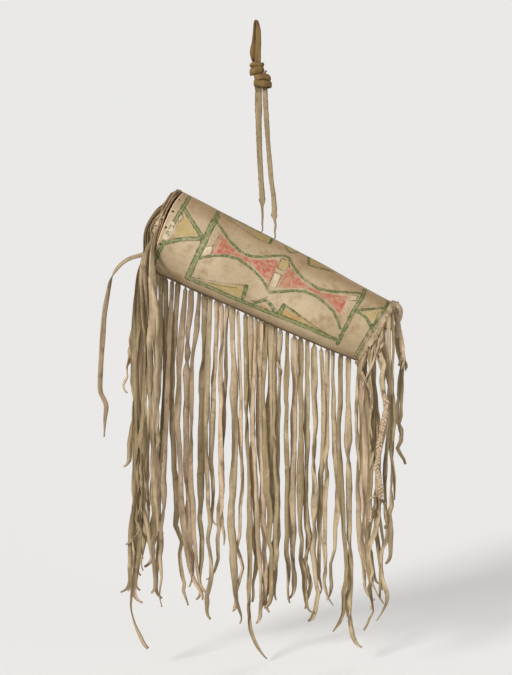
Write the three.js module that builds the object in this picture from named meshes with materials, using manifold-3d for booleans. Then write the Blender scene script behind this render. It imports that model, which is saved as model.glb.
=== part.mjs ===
// Parfleche case: a painted tube of rolled rawhide, closed by a laced disc at its narrow end and by a
// thong-hinged lid at its wide end, fringed along its seam and at both rims, hung by a knotted hide strap.
// Millimetres, +Z up, +Y away from the painted face. The origin is the point that the loop hangs from.
import * as THREE from 'three';
import { mergeVertices } from 'three/addons/utils/BufferGeometryUtils.js';
import Module from 'manifold-3d';

const DEG = Math.PI / 180;

// Rawhide tube
const TUBE_LENGTH = 372;
const RADIUS_LEFT = 68;
const RADIUS_RIGHT = 54;
const RAWHIDE = 2.2;
const RAKE_LEFT = 4.7 * DEG;
const RAKE_RIGHT = 4.5 * DEG;
const TILT = 25.9 * DEG;
const LEFT_RIM_X = -140;
const LEFT_RIM_Z = -335.4;
const TUBE_FACETS = 56;

// Lapped seam along the bottom: the outer lap comes from the front and covers the tucked one
const SEAM_TUCK = 15;
const SEAM_COVER = 8.5;
const SEAM_FLAT = 4.5;
const SEAM_RISE = 26;

// Lace holes round the left rim, counted up from the front
const LACE_HOLE_RADIUS = 1.9;
const LACE_HOLE_INSET = 5;
const LACE_HOLE_FIRST = -20 * DEG;
const LACE_HOLE_STEP = 24 * DEG;
const LACE_HOLE_COUNT = 10;

// Lid and its thong loops
const LID_OVERHANG = 0.5;
const LID_DOME = 6;
const LID_AJAR = 2.6 * DEG;
const HINGE_LOOP_RADIUS = 9;
const HINGE_LOOP_SPREAD = 22;
const HINGE_THONG = 2.4;
const HINGE_PLAY = 0.8;

// End disc and its lacing
const END_DISC_OVERHANG = 1.5;
const END_DISC_DOME = 7;
const LACING_STITCHES = 12;
const LACING_REACH = 5;
const LACING_THONG = 2.2;
const LACING_ENDS = 9 * DEG;

// Soft hide of the fringes
const SOFT_HIDE = 1.4;
const STRIP_HIDE = 1.2;
const STRIP_WIDTH = 9;
const STRIP_ROOT = 7.5;
const STRIP_TIP = 4;
const STRIP_LAYER = 3.2;
const STRIP_LAYERS = 4;
const STRIP_DROPS = [0.06, 0.35, 0.67, 1];
const BAND_WIDTH = 4;
const CLEAR = 0.3;

// Seam strips: place along the tube, sway at a third, two thirds and the tip, and length
const SEAM_STRIPS = [
  [21, -3, -13, -18, 524], [32, -8, -15, -20, 531], [43, -12, -4, 15, 523], [56, -12, -5, 33, 505],
  [67, -9, -7, 6, 482], [81, -12, -12, 10, 490], [91, -5, -8, -7, 494], [101, -6, -8, -8, 519],
  [113, -4, -9, -11, 363], [121, -1, -1, 6, 391], [131, -6, -14, -16, 449], [140, 4, 0, 16, 509],
  [151, 4, 3, -3, 486], [164, 2, 4, 30, 556], [173, 1, 6, 6, 461], [183, -4, 2, 15, 493],
  [191, -3, 3, 5, 472], [200, -3, 1, 3, 459], [210, -3, 5, -9, 460], [218, -3, 0, 1, 397],
  [226, -5, -5, -15, 436], [238, -2, 0, -2, 434], [250, -1, -3, 0, 429], [261, 1, 0, 11, 444],
  [273, 0, -3, 3, 429], [285, 0, 0, -1, 447], [297, 4, -3, -3, 407], [308, -2, -3, -6, 413],
  [317, 2, -2, -2, 400], [331, -2, 5, -2, 445], [344, 1, 2, 15, 467],
];
const SEAM_WELT_START = 9;
const SEAM_WELT_END = 16;
const SEAM_WELT_HOLD = 11;
const SEAM_LIP = 2.6;
const SEAM_LIP_PAST = 0.5;

// Rim strips: degrees round the rim from its bottom (front negative), sways and length
const RIM_STRIPS = [
  [-55, -10, -11, -15, 480], [-43, 2, 6, 4, 505], [-32, -18, -23, -11, 585], [-10, -29, -33, -42, 535],
  [0, -39, -41, -47, 505], [10, -34, -44, -52, 190], [33, -12, -16, -20, 478], [50, -24, -30, -36, 465],
];
const RIM_BAND_REACH = 60 * DEG;
const RIM_BAND_INSET = 2.5;
const RIM_STRIP_FALL = 30;

// Lid strips: place across the lid
const LID_STRIPS = [-46, -31, -15, 0, 16, 32, 47];
const LID_BAND_REACH = 62 * DEG;
const LID_BAND_INSET = 3;
const LID_STRIP_END = 30;

// End strips: degrees round the rim from its bottom (front negative), layer, sways and length
const END_STRIPS = [
  [-8, 0, 1, -2, 14, 360], [-24, 0, 8, 3, 19, 370], [-45, 0, 10, 5, 6, 350], [-70, 0, 13, 12, 13, 372],
  [-100, 0, 14, 6, 11, 353], [-125, 1, 12, 5, -9, 470], [100, 0, 18, 15, 14, 380], [140, 0, 22, 20, 17, 205],
];
const END_BAND_REACH = 168 * DEG;
const END_BAND_INSET = 9;
const END_TAIL_ANGLE = -160;
const END_TAIL_LIFT = 8;
const END_TAIL_OVER = 14;
const END_TAIL_REACH = 24;
const END_TAIL_FALL = 165;

// Carrying strap
const STRAP_WIDTH = 8.8;
const STRAP_THICKNESS = 2.4;
const STRAP_TAIL = 3.2;
const STRAP_TAIL_LENGTH = 42;
const STRAP_STATIONS = [0.25, 0.5, 0.75, 0.95];
const STRAP_HOLE_PLAY = 0.5;
const STRAP_LEFT_HOLE = 134;
const STRAP_RIGHT_HOLE = 157;
const STRAP_LEFT_TOP_X = 4;
const STRAP_RIGHT_TOP_X = 15;
const STOPPER_RADIUS = 5;

// Knots and loop at the top
const LOOP_DROP = 64;
const LOOP_THONG_WIDTH = 6;
const LOOP_THONG_THICKNESS = 3;
const LOOP_ROUTE = [
  [-3, -LOOP_DROP], [-5, -46], [-4.6, -30], [-3.6, -14], [-2, -3], [1, LOOP_THONG_THICKNESS / 2],
  [4.4, -5], [6, -18], [6.6, -34], [6.4, -50], [5, -LOOP_DROP],
];
const LOOP_WRAP_RADIUS = 11;
const LOOP_WRAP_TURN = 9.5;
const LOOP_WRAP_TURNS = 2;
const LOOP_WRAP_SWELL = 3.3;
const LOOP_WRAP_X = 1.5;
const STRAP_KNOT_RADIUS = 14;
const STRAP_KNOT_TURN = 6.8;
const STRAP_KNOT_TURNS = 3;
const STRAP_KNOT_SWELL = 2.4;
const STRAP_KNOT_X = 11;
const KNOT_FLATNESS = 0.7;

// Loose tie, as steps away from its lace hole
const TIE_WIDTH = 6;
const TIE_THICKNESS = 1.8;
const TIE_LEAN = new THREE.Vector3(0, 1, 0.6).normalize();
const TIE_ROUTE = [
  [-2, 6, 0], [-12, 10, -1], [-36, 10, -4], [-62, 10, -11], [-81, 11, -17], [-95, 11, -27], [-105, 9, -40],
  [-111, 6, -56], [-114, 2, -75], [-117, -2, -95], [-119, -6, -116], [-120, -13, -153], [-121, -21, -200],
  [-120, -27, -239], [-115, -29, -249], [-110, -30, -261], [-111, -33, -285], [-112, -35, -313],
];

const COLOURS = {
  rawhide: { color: 0xbfa581, roughness: 0.7, metalness: 0 },
  fringe: { color: 0xad9874, roughness: 0.85, metalness: 0 },
  strap: { color: 0xb8a47e, roughness: 0.8, metalness: 0 },
  loop: { color: 0x8a6a3c, roughness: 0.75, metalness: 0 },
};

const X = new THREE.Vector3(1, 0, 0);
const Y = new THREE.Vector3(0, 1, 0);
const DOWN = new THREE.Vector3(0, 0, -1);

const wasm = await Module();
wasm.setup();

// Rigid parts of the assembly: everything hangs from the root, the case is tilted, the lid turns in it
const root = new THREE.Group();
const caseGroup = new THREE.Group();
caseGroup.position.set(LEFT_RIM_X, 0, LEFT_RIM_Z);
caseGroup.rotation.y = TILT;
const lidGroup = new THREE.Group();
lidGroup.position.set(rimOffset(Math.PI, 0), 0, -radiusAt(rimOffset(Math.PI, 0)));
lidGroup.rotation.y = -(RAKE_LEFT + LID_AJAR);
const endGroup = new THREE.Group();
endGroup.position.x = TUBE_LENGTH;
endGroup.rotation.y = RAKE_RIGHT;
root.add(caseGroup);
caseGroup.add(lidGroup, endGroup);
root.updateMatrixWorld(true);
const AXIS = X.clone().transformDirection(caseGroup.matrixWorld);

// Outer radius of the cone at a place along its axis
function radiusAt(along) {
  return RADIUS_LEFT + (RADIUS_RIGHT - RADIUS_LEFT) * (along / TUBE_LENGTH);
}

// Place of the raked rim along the axis: angle from the top towards the front, end 0 left or 1 right
function rimOffset(angle, end) {
  const height = Math.cos(angle) * (end ? RADIUS_RIGHT : RADIUS_LEFT);
  return end ? TUBE_LENGTH + height * Math.tan(RAKE_RIGHT) : -height * Math.tan(RAKE_LEFT);
}

// Point of the case at a place along it, an angle from the top towards the front, and a depth under the skin
function casePoint(along, angle, depth) {
  const radius = radiusAt(along) - depth;
  return new THREE.Vector3(along, -radius * Math.sin(angle), radius * Math.cos(angle));
}

// The same point in the root frame
function hungPoint(along, angle, depth) {
  return casePoint(along, angle, depth).applyMatrix4(caseGroup.matrixWorld);
}

// Turns the faces of a closed mesh outwards
function facingOut(geometry) {
  const at = geometry.attributes.position;
  const index = geometry.index;
  const [a, b, c] = [new THREE.Vector3(), new THREE.Vector3(), new THREE.Vector3()];
  let volume = 0;
  for (let i = 0; i < index.count; i += 3) {
    a.fromBufferAttribute(at, index.getX(i));
    b.fromBufferAttribute(at, index.getX(i + 1));
    c.fromBufferAttribute(at, index.getX(i + 2));
    volume += a.dot(b.cross(c));
  }
  if (volume < 0) {
    index.array.reverse();
  }
  return geometry;
}

// Closed sheet between two surfaces over one grid: point(s, t, side) with s, t and side from 0 to 1
function sheet(rows, columns, point) {
  const positions = [];
  const index = [];
  const id = (i, j, side) => (i * (columns + 1) + j) * 2 + side;
  const quad = (a, b, c, d) => index.push(a, b, c, a, c, d);
  for (let i = 0; i <= rows; i += 1) {
    for (let j = 0; j <= columns; j += 1) {
      positions.push(...point(i / rows, j / columns, 0), ...point(i / rows, j / columns, 1));
    }
  }
  for (let i = 0; i < rows; i += 1) {
    for (let j = 0; j < columns; j += 1) {
      quad(id(i, j, 0), id(i + 1, j, 0), id(i + 1, j + 1, 0), id(i, j + 1, 0));
      quad(id(i, j, 1), id(i, j + 1, 1), id(i + 1, j + 1, 1), id(i + 1, j, 1));
    }
    quad(id(i, 0, 0), id(i, 0, 1), id(i + 1, 0, 1), id(i + 1, 0, 0));
    quad(id(i, columns, 0), id(i + 1, columns, 0), id(i + 1, columns, 1), id(i, columns, 1));
  }
  for (let j = 0; j < columns; j += 1) {
    quad(id(0, j, 0), id(0, j + 1, 0), id(0, j + 1, 1), id(0, j, 1));
    quad(id(rows, j, 0), id(rows, j, 1), id(rows, j + 1, 1), id(rows, j + 1, 0));
  }
  const geometry = new THREE.BufferGeometry();
  geometry.setAttribute('position', new THREE.Float32BufferAttribute(positions, 3));
  geometry.setIndex(index);
  return facingOut(geometry);
}

// Direction of a path at one of its points
function headingAt(path, i) {
  const before = path[Math.max(i - 1, 0)];
  const after = path[Math.min(i + 1, path.length - 1)];
  return after.clone().sub(before).normalize();
}

// Flat strip along a path: its width lies along across[i], its thickness square to that and the path
function strip(path, across, widths, thickness) {
  const last = path.length - 1;
  return sheet(last, 1, (s, t, side) => {
    const i = Math.round(s * last);
    const face = headingAt(path, i).cross(across[i]).normalize();
    const point = path[i].clone().addScaledVector(across[i], (t - 0.5) * widths[i]);
    return point.addScaledVector(face, (side - 0.5) * thickness).toArray();
  });
}

// Flat-sided thong along a path: an eight-sided section, as wide as widths[i] along across
function thong(path, across, widths, thickness) {
  const sides = 8;
  const positions = [];
  const index = [];
  path.forEach((centre, i) => {
    const face = headingAt(path, i).cross(across).normalize();
    for (let k = 0; k < sides; k += 1) {
      const turn = ((k + 0.5) / sides) * 2 * Math.PI;
      const point = centre.clone().addScaledVector(across, (widths[i] / 2) * Math.cos(turn));
      positions.push(...point.addScaledVector(face, (thickness / 2) * Math.sin(turn)));
    }
  });
  for (let i = 0; i < path.length - 1; i += 1) {
    for (let k = 0; k < sides; k += 1) {
      const [a, b] = [i * sides + k, i * sides + ((k + 1) % sides)];
      index.push(a, b, b + sides, a, b + sides, a + sides);
    }
  }
  const end = (path.length - 1) * sides;
  for (let k = 1; k < sides - 1; k += 1) {
    index.push(0, k + 1, k, end, end + k, end + k + 1);
  }
  const geometry = new THREE.BufferGeometry();
  geometry.setAttribute('position', new THREE.Float32BufferAttribute(positions, 3));
  geometry.setIndex(index);
  return facingOut(geometry);
}

// Closed solid of a geometry, for cutting and joining
function solidOf(geometry) {
  const bare = geometry.clone();
  bare.deleteAttribute('normal');
  bare.deleteAttribute('uv');
  const welded = mergeVertices(bare, 1e-3);
  const triangles = [];
  for (let i = 0; i < welded.index.count; i += 3) {
    const corners = [0, 1, 2].map((k) => welded.index.getX(i + k));
    if (new Set(corners).size === 3) {
      triangles.push(...corners);
    }
  }
  const vertProperties = new Float32Array(welded.attributes.position.array);
  const triVerts = new Uint32Array(triangles);
  return new wasm.Manifold(new wasm.Mesh({ numProp: 3, vertProperties, triVerts }));
}

// Geometry of a solid
function geometryOf(solid) {
  const mesh = solid.getMesh();
  const geometry = new THREE.BufferGeometry();
  geometry.setAttribute('position', new THREE.Float32BufferAttribute(mesh.vertProperties, 3));
  geometry.setIndex(new THREE.Uint32BufferAttribute(mesh.triVerts, 1));
  geometry.computeVertexNormals();
  return geometry;
}

// Named mesh in its own material
function addMesh(parent, name, geometry, look) {
  const mesh = new THREE.Mesh(geometry, new THREE.MeshStandardMaterial(look));
  mesh.name = name;
  parent.add(mesh);
}

// Geometry made in one group, carried into another
function carried(geometry, from, to) {
  const move = to.matrixWorld.clone().invert().multiply(from.matrixWorld);
  return geometry.clone().applyMatrix4(move);
}

// Round cutter through a wall: centre, direction and radius
function borer(centre, direction, radius, length) {
  const cutter = new THREE.CylinderGeometry(radius, radius, length, 8);
  cutter.applyQuaternion(new THREE.Quaternion().setFromUnitVectors(Y, direction.clone().normalize()));
  return cutter.translate(centre.x, centre.y, centre.z);
}

// Angles of the lace holes, from the top towards the front
function laceHoleAngles() {
  return Array.from({ length: LACE_HOLE_COUNT }, (_, k) => {
    return Math.PI / 2 - (LACE_HOLE_FIRST + k * LACE_HOLE_STEP);
  });
}

// Centre of a lace hole in the case, half way through the hide
function laceHole(angle) {
  return casePoint(rimOffset(angle, 0) + LACE_HOLE_INSET, angle, RAWHIDE / 2);
}

// Rolled sheet of rawhide, one straight line of hide from rim to rim for each facet
function rolledHide() {
  const sunk = RAWHIDE + SOFT_HIDE + 2 * CLEAR;
  const first = Math.PI - SEAM_TUCK / RADIUS_LEFT;
  const last = 3 * Math.PI + SEAM_COVER / RADIUS_LEFT;
  const riseFrom = Math.PI + (SEAM_COVER + SEAM_FLAT) / RADIUS_LEFT;
  const riseTo = riseFrom + SEAM_RISE / RADIUS_LEFT;
  return sheet(1, TUBE_FACETS, (end, t, side) => {
    const angle = first + (last - first) * t;
    const depth = sunk * (1 - THREE.MathUtils.smoothstep(angle, riseFrom, riseTo));
    return casePoint(rimOffset(angle, end), angle, depth + side * RAWHIDE).toArray();
  });
}

// Domed rawhide disc, hollow side towards +X, its edge in the plane x = 0
function domedDisc(radius, dome) {
  const rings = 2;
  const inner = [];
  const outer = [];
  for (let k = 0; k <= rings; k += 1) {
    const reach = radius * (k / rings);
    const height = domeHeight(reach, radius, dome);
    inner.push(new THREE.Vector2(reach, height));
    outer.unshift(new THREE.Vector2(reach, height + RAWHIDE));
  }
  return new THREE.LatheGeometry([...inner, ...outer], 32).rotateZ(Math.PI / 2);
}

function domeHeight(reach, radius, dome) {
  return dome * (1 - (reach / radius) ** 2);
}

// Thong loops of the lid's hinge, centred on the hinge axis, thicker where they cut their own holes
function hingeLoop(side, thickness) {
  const loop = new THREE.TorusGeometry(HINGE_LOOP_RADIUS, thickness / 2, 6, 18);
  return loop.rotateX(Math.PI / 2).translate(0, side * HINGE_LOOP_SPREAD, 0);
}

const HINGE_SIDES = { front: -1, back: 1 };
const LID_RADIUS = RADIUS_LEFT + LID_OVERHANG;
const LID_CENTRE = LID_RADIUS + CLEAR;

// Lacing of the end disc: it winds over the rim, through the tube's wall and the disc's edge
function endLacing(thickness) {
  const points = [];
  const perStitch = 5;
  const count = LACING_STITCHES * perStitch;
  for (let k = 0; k <= count; k += 1) {
    const round = LACING_ENDS + (2 * Math.PI - 2 * LACING_ENDS) * (k / count);
    const turn = (k / perStitch) * 2 * Math.PI;
    const reach = RADIUS_RIGHT + LACING_REACH * Math.cos(turn);
    const along = LACING_REACH * Math.sin(turn);
    points.push(new THREE.Vector3(along, -reach * Math.sin(round), reach * Math.cos(round)));
  }
  const corners = [0, 60, 120, 180, 240, 300].map((turn) => new THREE.Vector2(thickness / 2, 0)
    .rotateAround(new THREE.Vector2(), turn * DEG));
  return new THREE.ExtrudeGeometry(new THREE.Shape(corners), {
    steps: count,
    bevelEnabled: false,
    extrudePath: new THREE.CatmullRomCurve3(points),
  });
}

// Strip that hangs from a root: sways are sideways steps at a third, two thirds and the tip of its fall
function hangingStrip(start, across, from, sways, fall) {
  const sway = new THREE.CatmullRomCurve3([[0, 0], ...sways.map((x, k) => [x, (k + 1) / sways.length])]
    .map(([x, share]) => new THREE.Vector3(x, 0, -share * fall)));
  const path = [...start];
  const widths = start.map(() => STRIP_ROOT);
  const acrosses = start.map(() => across);
  STRIP_DROPS.forEach((share) => {
    path.push(from.clone().add(sway.getPoint(share)));
    widths.push(share === 1 ? STRIP_TIP : STRIP_WIDTH);
    acrosses.push(X);
  });
  return strip(path, acrosses, widths, STRIP_HIDE);
}

// Welt caught in the lap, with a strip let down from its edge at each place along the seam
function seamFringe() {
  const depth = RAWHIDE + CLEAR;
  const from = rimOffset(Math.PI, 0) + SEAM_WELT_START;
  const to = rimOffset(Math.PI, 1) - SEAM_WELT_END;
  const edge = Math.PI + (SEAM_COVER + SEAM_LIP) / RADIUS_LEFT;
  const held = Math.PI - SEAM_WELT_HOLD / RADIUS_LEFT;
  const welt = sheet(1, 6, (s, t, side) => {
    return hungPoint(from + (to - from) * s, held + (edge - held) * t, depth + side * SOFT_HIDE).toArray();
  });
  const reach = STRIP_ROOT / 2;
  const rows = SEAM_STRIPS.filter(([along]) => along - reach > from && along + reach < to);
  return rows.reduce((fringe, [along, third, twoThirds, tip, fall], row) => {
    const inside = hungPoint(along, edge - SEAM_LIP / RADIUS_LEFT, depth + SOFT_HIDE / 2);
    const lip = hungPoint(along, edge + SEAM_LIP_PAST / RADIUS_LEFT, depth + SOFT_HIDE / 2);
    const knee = lip.clone().addScaledVector(Y, SOFT_HIDE).addScaledVector(DOWN, SOFT_HIDE);
    const hang = knee.clone().addScaledVector(DOWN, SOFT_HIDE);
    hang.y += (row % STRIP_LAYERS) * STRIP_LAYER;
    const piece = hangingStrip([inside, lip, knee], AXIS, hang, [third, twoThirds, tip], fall);
    return fringe.add(solidOf(piece));
  }, solidOf(welt));
}

// Band round the outside of the tube: angles from the bottom, inset from one of the raked rims
function rimBand(end, reach, inset, facets) {
  return sheet(facets, 1, (s, t, side) => {
    const angle = Math.PI + reach * (2 * s - 1);
    const from = inset + t * BAND_WIDTH;
    const along = end ? rimOffset(angle, 1) - from : rimOffset(angle, 0) + from;
    return hungPoint(along, angle, -CLEAR - side * SOFT_HIDE).toArray();
  });
}

// Root of a strip on a rim band, and the way out of the tube there
function bandRoot(end, degrees, inset) {
  const angle = Math.PI + degrees * DEG;
  const from = inset + BAND_WIDTH / 2;
  const along = end ? rimOffset(angle, 1) - from : rimOffset(angle, 0) + from;
  const at = hungPoint(along, angle, -CLEAR - SOFT_HIDE / 2);
  const out = at.clone().sub(hungPoint(along, angle, 0)).normalize();
  return { at, out };
}

// Strips of the left rim: they drop clear of the lid's hinge before they sway
function rimFringe() {
  return RIM_STRIPS.reduce((fringe, [degrees, third, twoThirds, tip, fall]) => {
    const { at, out } = bandRoot(0, degrees, RIM_BAND_INSET);
    const clear = at.clone().addScaledVector(out, 2 * SOFT_HIDE).addScaledVector(DOWN, RIM_STRIP_FALL / 2);
    const hang = clear.clone().addScaledVector(DOWN, RIM_STRIP_FALL / 2);
    const piece = hangingStrip([at, clear], AXIS, hang, [third, twoThirds, tip], fall);
    return fringe.add(solidOf(piece));
  }, solidOf(rimBand(0, RIM_BAND_REACH, RIM_BAND_INSET, 16)));
}

// Strips of the right rim: they stand clear of the lacing, and swell over the tube's side where they
// are rooted above its middle
function endFringe() {
  const lift = LACING_REACH + LACING_THONG / 2;
  const bulge = RADIUS_RIGHT + CLEAR + SOFT_HIDE / 2 + lift;
  const band = solidOf(rimBand(1, END_BAND_REACH, END_BAND_INSET, 40));
  const fringe = END_STRIPS.reduce((whole, [degrees, layer, third, twoThirds, tip, fall]) => {
    const { at, out } = bandRoot(1, degrees, END_BAND_INSET);
    const side = Math.sign(degrees);
    const inside = at.clone().addScaledVector(out, -SOFT_HIDE / 4);
    const clear = at.clone().addScaledVector(out, lift);
    const hang = clear.clone().addScaledVector(DOWN, 2 * SOFT_HIDE);
    if (Math.abs(degrees) > 90) {
      hang.y = side * (bulge + layer * STRIP_LAYER);
    }
    const piece = hangingStrip([inside, clear], AXIS, hang, [third, twoThirds, tip], fall);
    return whole.add(solidOf(piece));
  }, band);
  return fringe.add(solidOf(endTail()));
}

// Short strip that crosses over the lacing at the top of the right rim and falls past the disc
function endTail() {
  const { at, out } = bandRoot(1, END_TAIL_ANGLE, END_BAND_INSET);
  const lifted = at.clone().addScaledVector(out, END_TAIL_LIFT);
  const over = lifted.clone().addScaledVector(X, END_TAIL_OVER);
  const past = lifted.clone().addScaledVector(X, END_TAIL_REACH).addScaledVector(DOWN, END_TAIL_LIFT);
  const end = past.clone().addScaledVector(DOWN, END_TAIL_FALL);
  const middle = past.clone().lerp(end, 0.5);
  const path = [at.clone().addScaledVector(out, -SOFT_HIDE / 4), lifted, over, past, middle, end];
  const widths = [STRIP_ROOT, STRIP_ROOT, STRIP_ROOT, STRIP_ROOT, STRIP_ROOT, STRIP_TIP];
  const across = out.clone().cross(AXIS).normalize();
  return strip(path, path.map(() => across), widths, STRIP_HIDE);
}

// Strips over the lid's outer face, let down from a band along its upper edge
function lidFringe() {
  const skin = (y, z, side) => {
    const reach = Math.hypot(y, z - LID_CENTRE);
    const height = domeHeight(reach, LID_RADIUS, LID_DOME) + RAWHIDE + CLEAR;
    return [-CLEAR - height - CLEAR - side * SOFT_HIDE, y, z];
  };
  const band = sheet(14, 1, (s, t, side) => {
    const angle = LID_BAND_REACH * (2 * s - 1);
    const reach = LID_RADIUS - LID_BAND_INSET - t * BAND_WIDTH;
    return skin(reach * Math.sin(angle), LID_CENTRE + reach * Math.cos(angle), side);
  });
  return LID_STRIPS.reduce((fringe, place) => {
    const top = Math.sqrt((LID_RADIUS - LID_BAND_INSET - BAND_WIDTH / 2) ** 2 - place ** 2);
    const piece = sheet(4, 1, (s, t, side) => {
      const z = LID_CENTRE + top + (LID_STRIP_END - LID_CENTRE - top) * s;
      return skin(place + (t - 0.5) * STRIP_WIDTH, z, side);
    });
    return fringe.add(solidOf(piece));
  }, solidOf(band));
}

// Leg of the carrying strap: flat from the knot, then a narrow tail through its hole in the tube's top
function strapLeg(topX, along) {
  const out = hungPoint(along, 0, -1).sub(hungPoint(along, 0, 0)).normalize();
  const skin = hungPoint(along, 0, 0);
  const inside = hungPoint(along, 0, RAWHIDE);
  const above = skin.clone().addScaledVector(out, STRAP_TAIL);
  const top = new THREE.Vector3(topX, 0, STRAP_TOP);
  const neck = above.clone().addScaledVector(DOWN, -STRAP_TAIL_LENGTH);
  const path = [top];
  const widths = [STRAP_WIDTH];
  for (const share of STRAP_STATIONS) {
    path.push(top.clone().lerp(neck, share));
    widths.push(STRAP_WIDTH);
  }
  path.push(neck, above.clone().lerp(neck, 0.5), above, inside);
  widths.push(STRAP_TAIL, STRAP_TAIL, STRAP_TAIL, STRAP_TAIL);
  return thong(path, X, widths, STRAP_THICKNESS);
}

// Knot of thong turns bound on each other, its top in the plane z = 0
function boundTurns(radius, turn, turns, bulge) {
  const profile = [new THREE.Vector2(0, 0)];
  const steps = 4;
  for (let k = 0; k < turns; k += 1) {
    for (let s = 0; s <= steps; s += 1) {
      const swell = bulge * Math.sin((s / steps) * Math.PI);
      profile.push(new THREE.Vector2(radius - bulge + swell, -(k + s / steps) * turn));
    }
  }
  profile.push(new THREE.Vector2(0, -turns * turn));
  const welded = profile.filter((p, i) => i === 0 || p.distanceTo(profile[i - 1]) > 0);
  const knot = new THREE.LatheGeometry(welded.reverse(), 12).rotateX(Math.PI / 2);
  return knot.scale(1, KNOT_FLATNESS, 1);
}

// Loop that the case hangs from: one thong doubled over the origin
function hangingLoop() {
  const curve = new THREE.CatmullRomCurve3(LOOP_ROUTE.map(([x, z]) => new THREE.Vector3(x, 0, z)));
  const path = curve.getPoints(18);
  return thong(path, Y, path.map(() => LOOP_THONG_WIDTH), LOOP_THONG_THICKNESS);
}

const WRAP_TOP = -LOOP_DROP - CLEAR;
const KNOT_TOP = WRAP_TOP - LOOP_WRAP_TURN * LOOP_WRAP_TURNS - CLEAR;
const STRAP_TOP = KNOT_TOP - STRAP_KNOT_TURN * STRAP_KNOT_TURNS - CLEAR;

// Loose tie from the lowest lace hole at the back
function tieThong() {
  const start = laceHole(laceHoleAngles()[LACE_HOLE_COUNT - 1]).applyMatrix4(caseGroup.matrixWorld);
  const path = [start, ...TIE_ROUTE.map((step) => start.clone().add(new THREE.Vector3(...step)))];
  const widths = path.map((_, i) => (i < 2 ? LACE_HOLE_RADIUS : TIE_WIDTH));
  const across = path.map((_, i) => (i < 2 ? X : TIE_LEAN));
  return strip(path, across, widths, TIE_THICKNESS);
}

// Tube with its lace holes, hinge holes, lacing holes and strap holes
function piercedTube() {
  const cutters = laceHoleAngles().map((angle) => {
    const centre = laceHole(angle);
    return borer(centre, new THREE.Vector3(0, centre.y, centre.z), LACE_HOLE_RADIUS, 3 * RAWHIDE);
  });
  for (const along of [STRAP_LEFT_HOLE, STRAP_RIGHT_HOLE]) {
    const centre = casePoint(along, 0, RAWHIDE / 2);
    cutters.push(borer(centre, DOWN, STRAP_TAIL / 2 + STRAP_HOLE_PLAY, 3 * RAWHIDE));
  }
  for (const side of Object.values(HINGE_SIDES)) {
    cutters.push(carried(hingeLoop(side, HINGE_THONG + 2 * HINGE_PLAY), lidGroup, caseGroup));
  }
  cutters.push(carried(endLacing(LACING_THONG + 2 * CLEAR), endGroup, caseGroup));
  return cutters.reduce((tube, cutter) => tube.subtract(solidOf(cutter)), solidOf(rolledHide()));
}

// Lid with its hinge holes and the lace holes that face those of the rim
function piercedLid() {
  const disc = domedDisc(LID_RADIUS, LID_DOME).translate(-CLEAR, 0, LID_CENTRE);
  const cutters = Object.values(HINGE_SIDES).map((side) => hingeLoop(side, HINGE_THONG + 2 * HINGE_PLAY));
  for (const angle of laceHoleAngles()) {
    const reach = LID_RADIUS - LID_OVERHANG - LACE_HOLE_INSET;
    const centre = new THREE.Vector3(-CLEAR, -reach * Math.sin(angle), LID_CENTRE + reach * Math.cos(angle));
    cutters.push(borer(centre, X, LACE_HOLE_RADIUS, 4 * RAWHIDE + LID_DOME));
  }
  return cutters.reduce((lid, cutter) => lid.subtract(solidOf(cutter)), solidOf(disc));
}

// End disc with the holes of its lacing
function piercedEndDisc() {
  const disc = domedDisc(RADIUS_RIGHT + END_DISC_OVERHANG, END_DISC_DOME);
  disc.rotateZ(Math.PI).translate(CLEAR, 0, 0);
  return solidOf(disc).subtract(solidOf(endLacing(LACING_THONG + 2 * CLEAR)));
}

// Stopper knot inside the tube, under the hole of a strap leg
function stopperKnot(along) {
  const centre = casePoint(along, 0, RAWHIDE + CLEAR + STOPPER_RADIUS);
  return new THREE.SphereGeometry(STOPPER_RADIUS, 10, 6).translate(centre.x, centre.y, centre.z);
}

addMesh(caseGroup, 'rawhide_tube', geometryOf(piercedTube()), COLOURS.rawhide);
addMesh(lidGroup, 'lid', geometryOf(piercedLid()), COLOURS.rawhide);
addMesh(lidGroup, 'lid_fringe', geometryOf(lidFringe()), COLOURS.fringe);
for (const [name, side] of Object.entries(HINGE_SIDES)) {
  addMesh(lidGroup, `lid_hinge_thong_${name}`, hingeLoop(side, HINGE_THONG), COLOURS.strap);
}
addMesh(root, 'lid_tie_thong', tieThong(), COLOURS.strap);
addMesh(root, 'rim_fringe', geometryOf(rimFringe()), COLOURS.fringe);
addMesh(endGroup, 'end_disc', geometryOf(piercedEndDisc()), COLOURS.rawhide);
addMesh(endGroup, 'end_lacing', endLacing(LACING_THONG), COLOURS.strap);
addMesh(root, 'end_fringe', geometryOf(endFringe()), COLOURS.fringe);
addMesh(root, 'seam_fringe', geometryOf(seamFringe()), COLOURS.fringe);
addMesh(root, 'hanging_loop', hangingLoop(), COLOURS.loop);
const wrap = boundTurns(LOOP_WRAP_RADIUS, LOOP_WRAP_TURN, LOOP_WRAP_TURNS, LOOP_WRAP_SWELL);
addMesh(root, 'loop_wrap', wrap.translate(LOOP_WRAP_X, 0, WRAP_TOP), COLOURS.loop);
const knot = boundTurns(STRAP_KNOT_RADIUS, STRAP_KNOT_TURN, STRAP_KNOT_TURNS, STRAP_KNOT_SWELL);
addMesh(root, 'strap_knot', knot.translate(STRAP_KNOT_X, 0, KNOT_TOP), COLOURS.loop);
addMesh(root, 'strap_left', strapLeg(STRAP_LEFT_TOP_X, STRAP_LEFT_HOLE), COLOURS.strap);
addMesh(root, 'strap_right', strapLeg(STRAP_RIGHT_TOP_X, STRAP_RIGHT_HOLE), COLOURS.strap);
addMesh(caseGroup, 'stopper_knot_left', stopperKnot(STRAP_LEFT_HOLE), COLOURS.strap);
addMesh(caseGroup, 'stopper_knot_right', stopperKnot(STRAP_RIGHT_HOLE), COLOURS.strap);

export default root;
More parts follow.
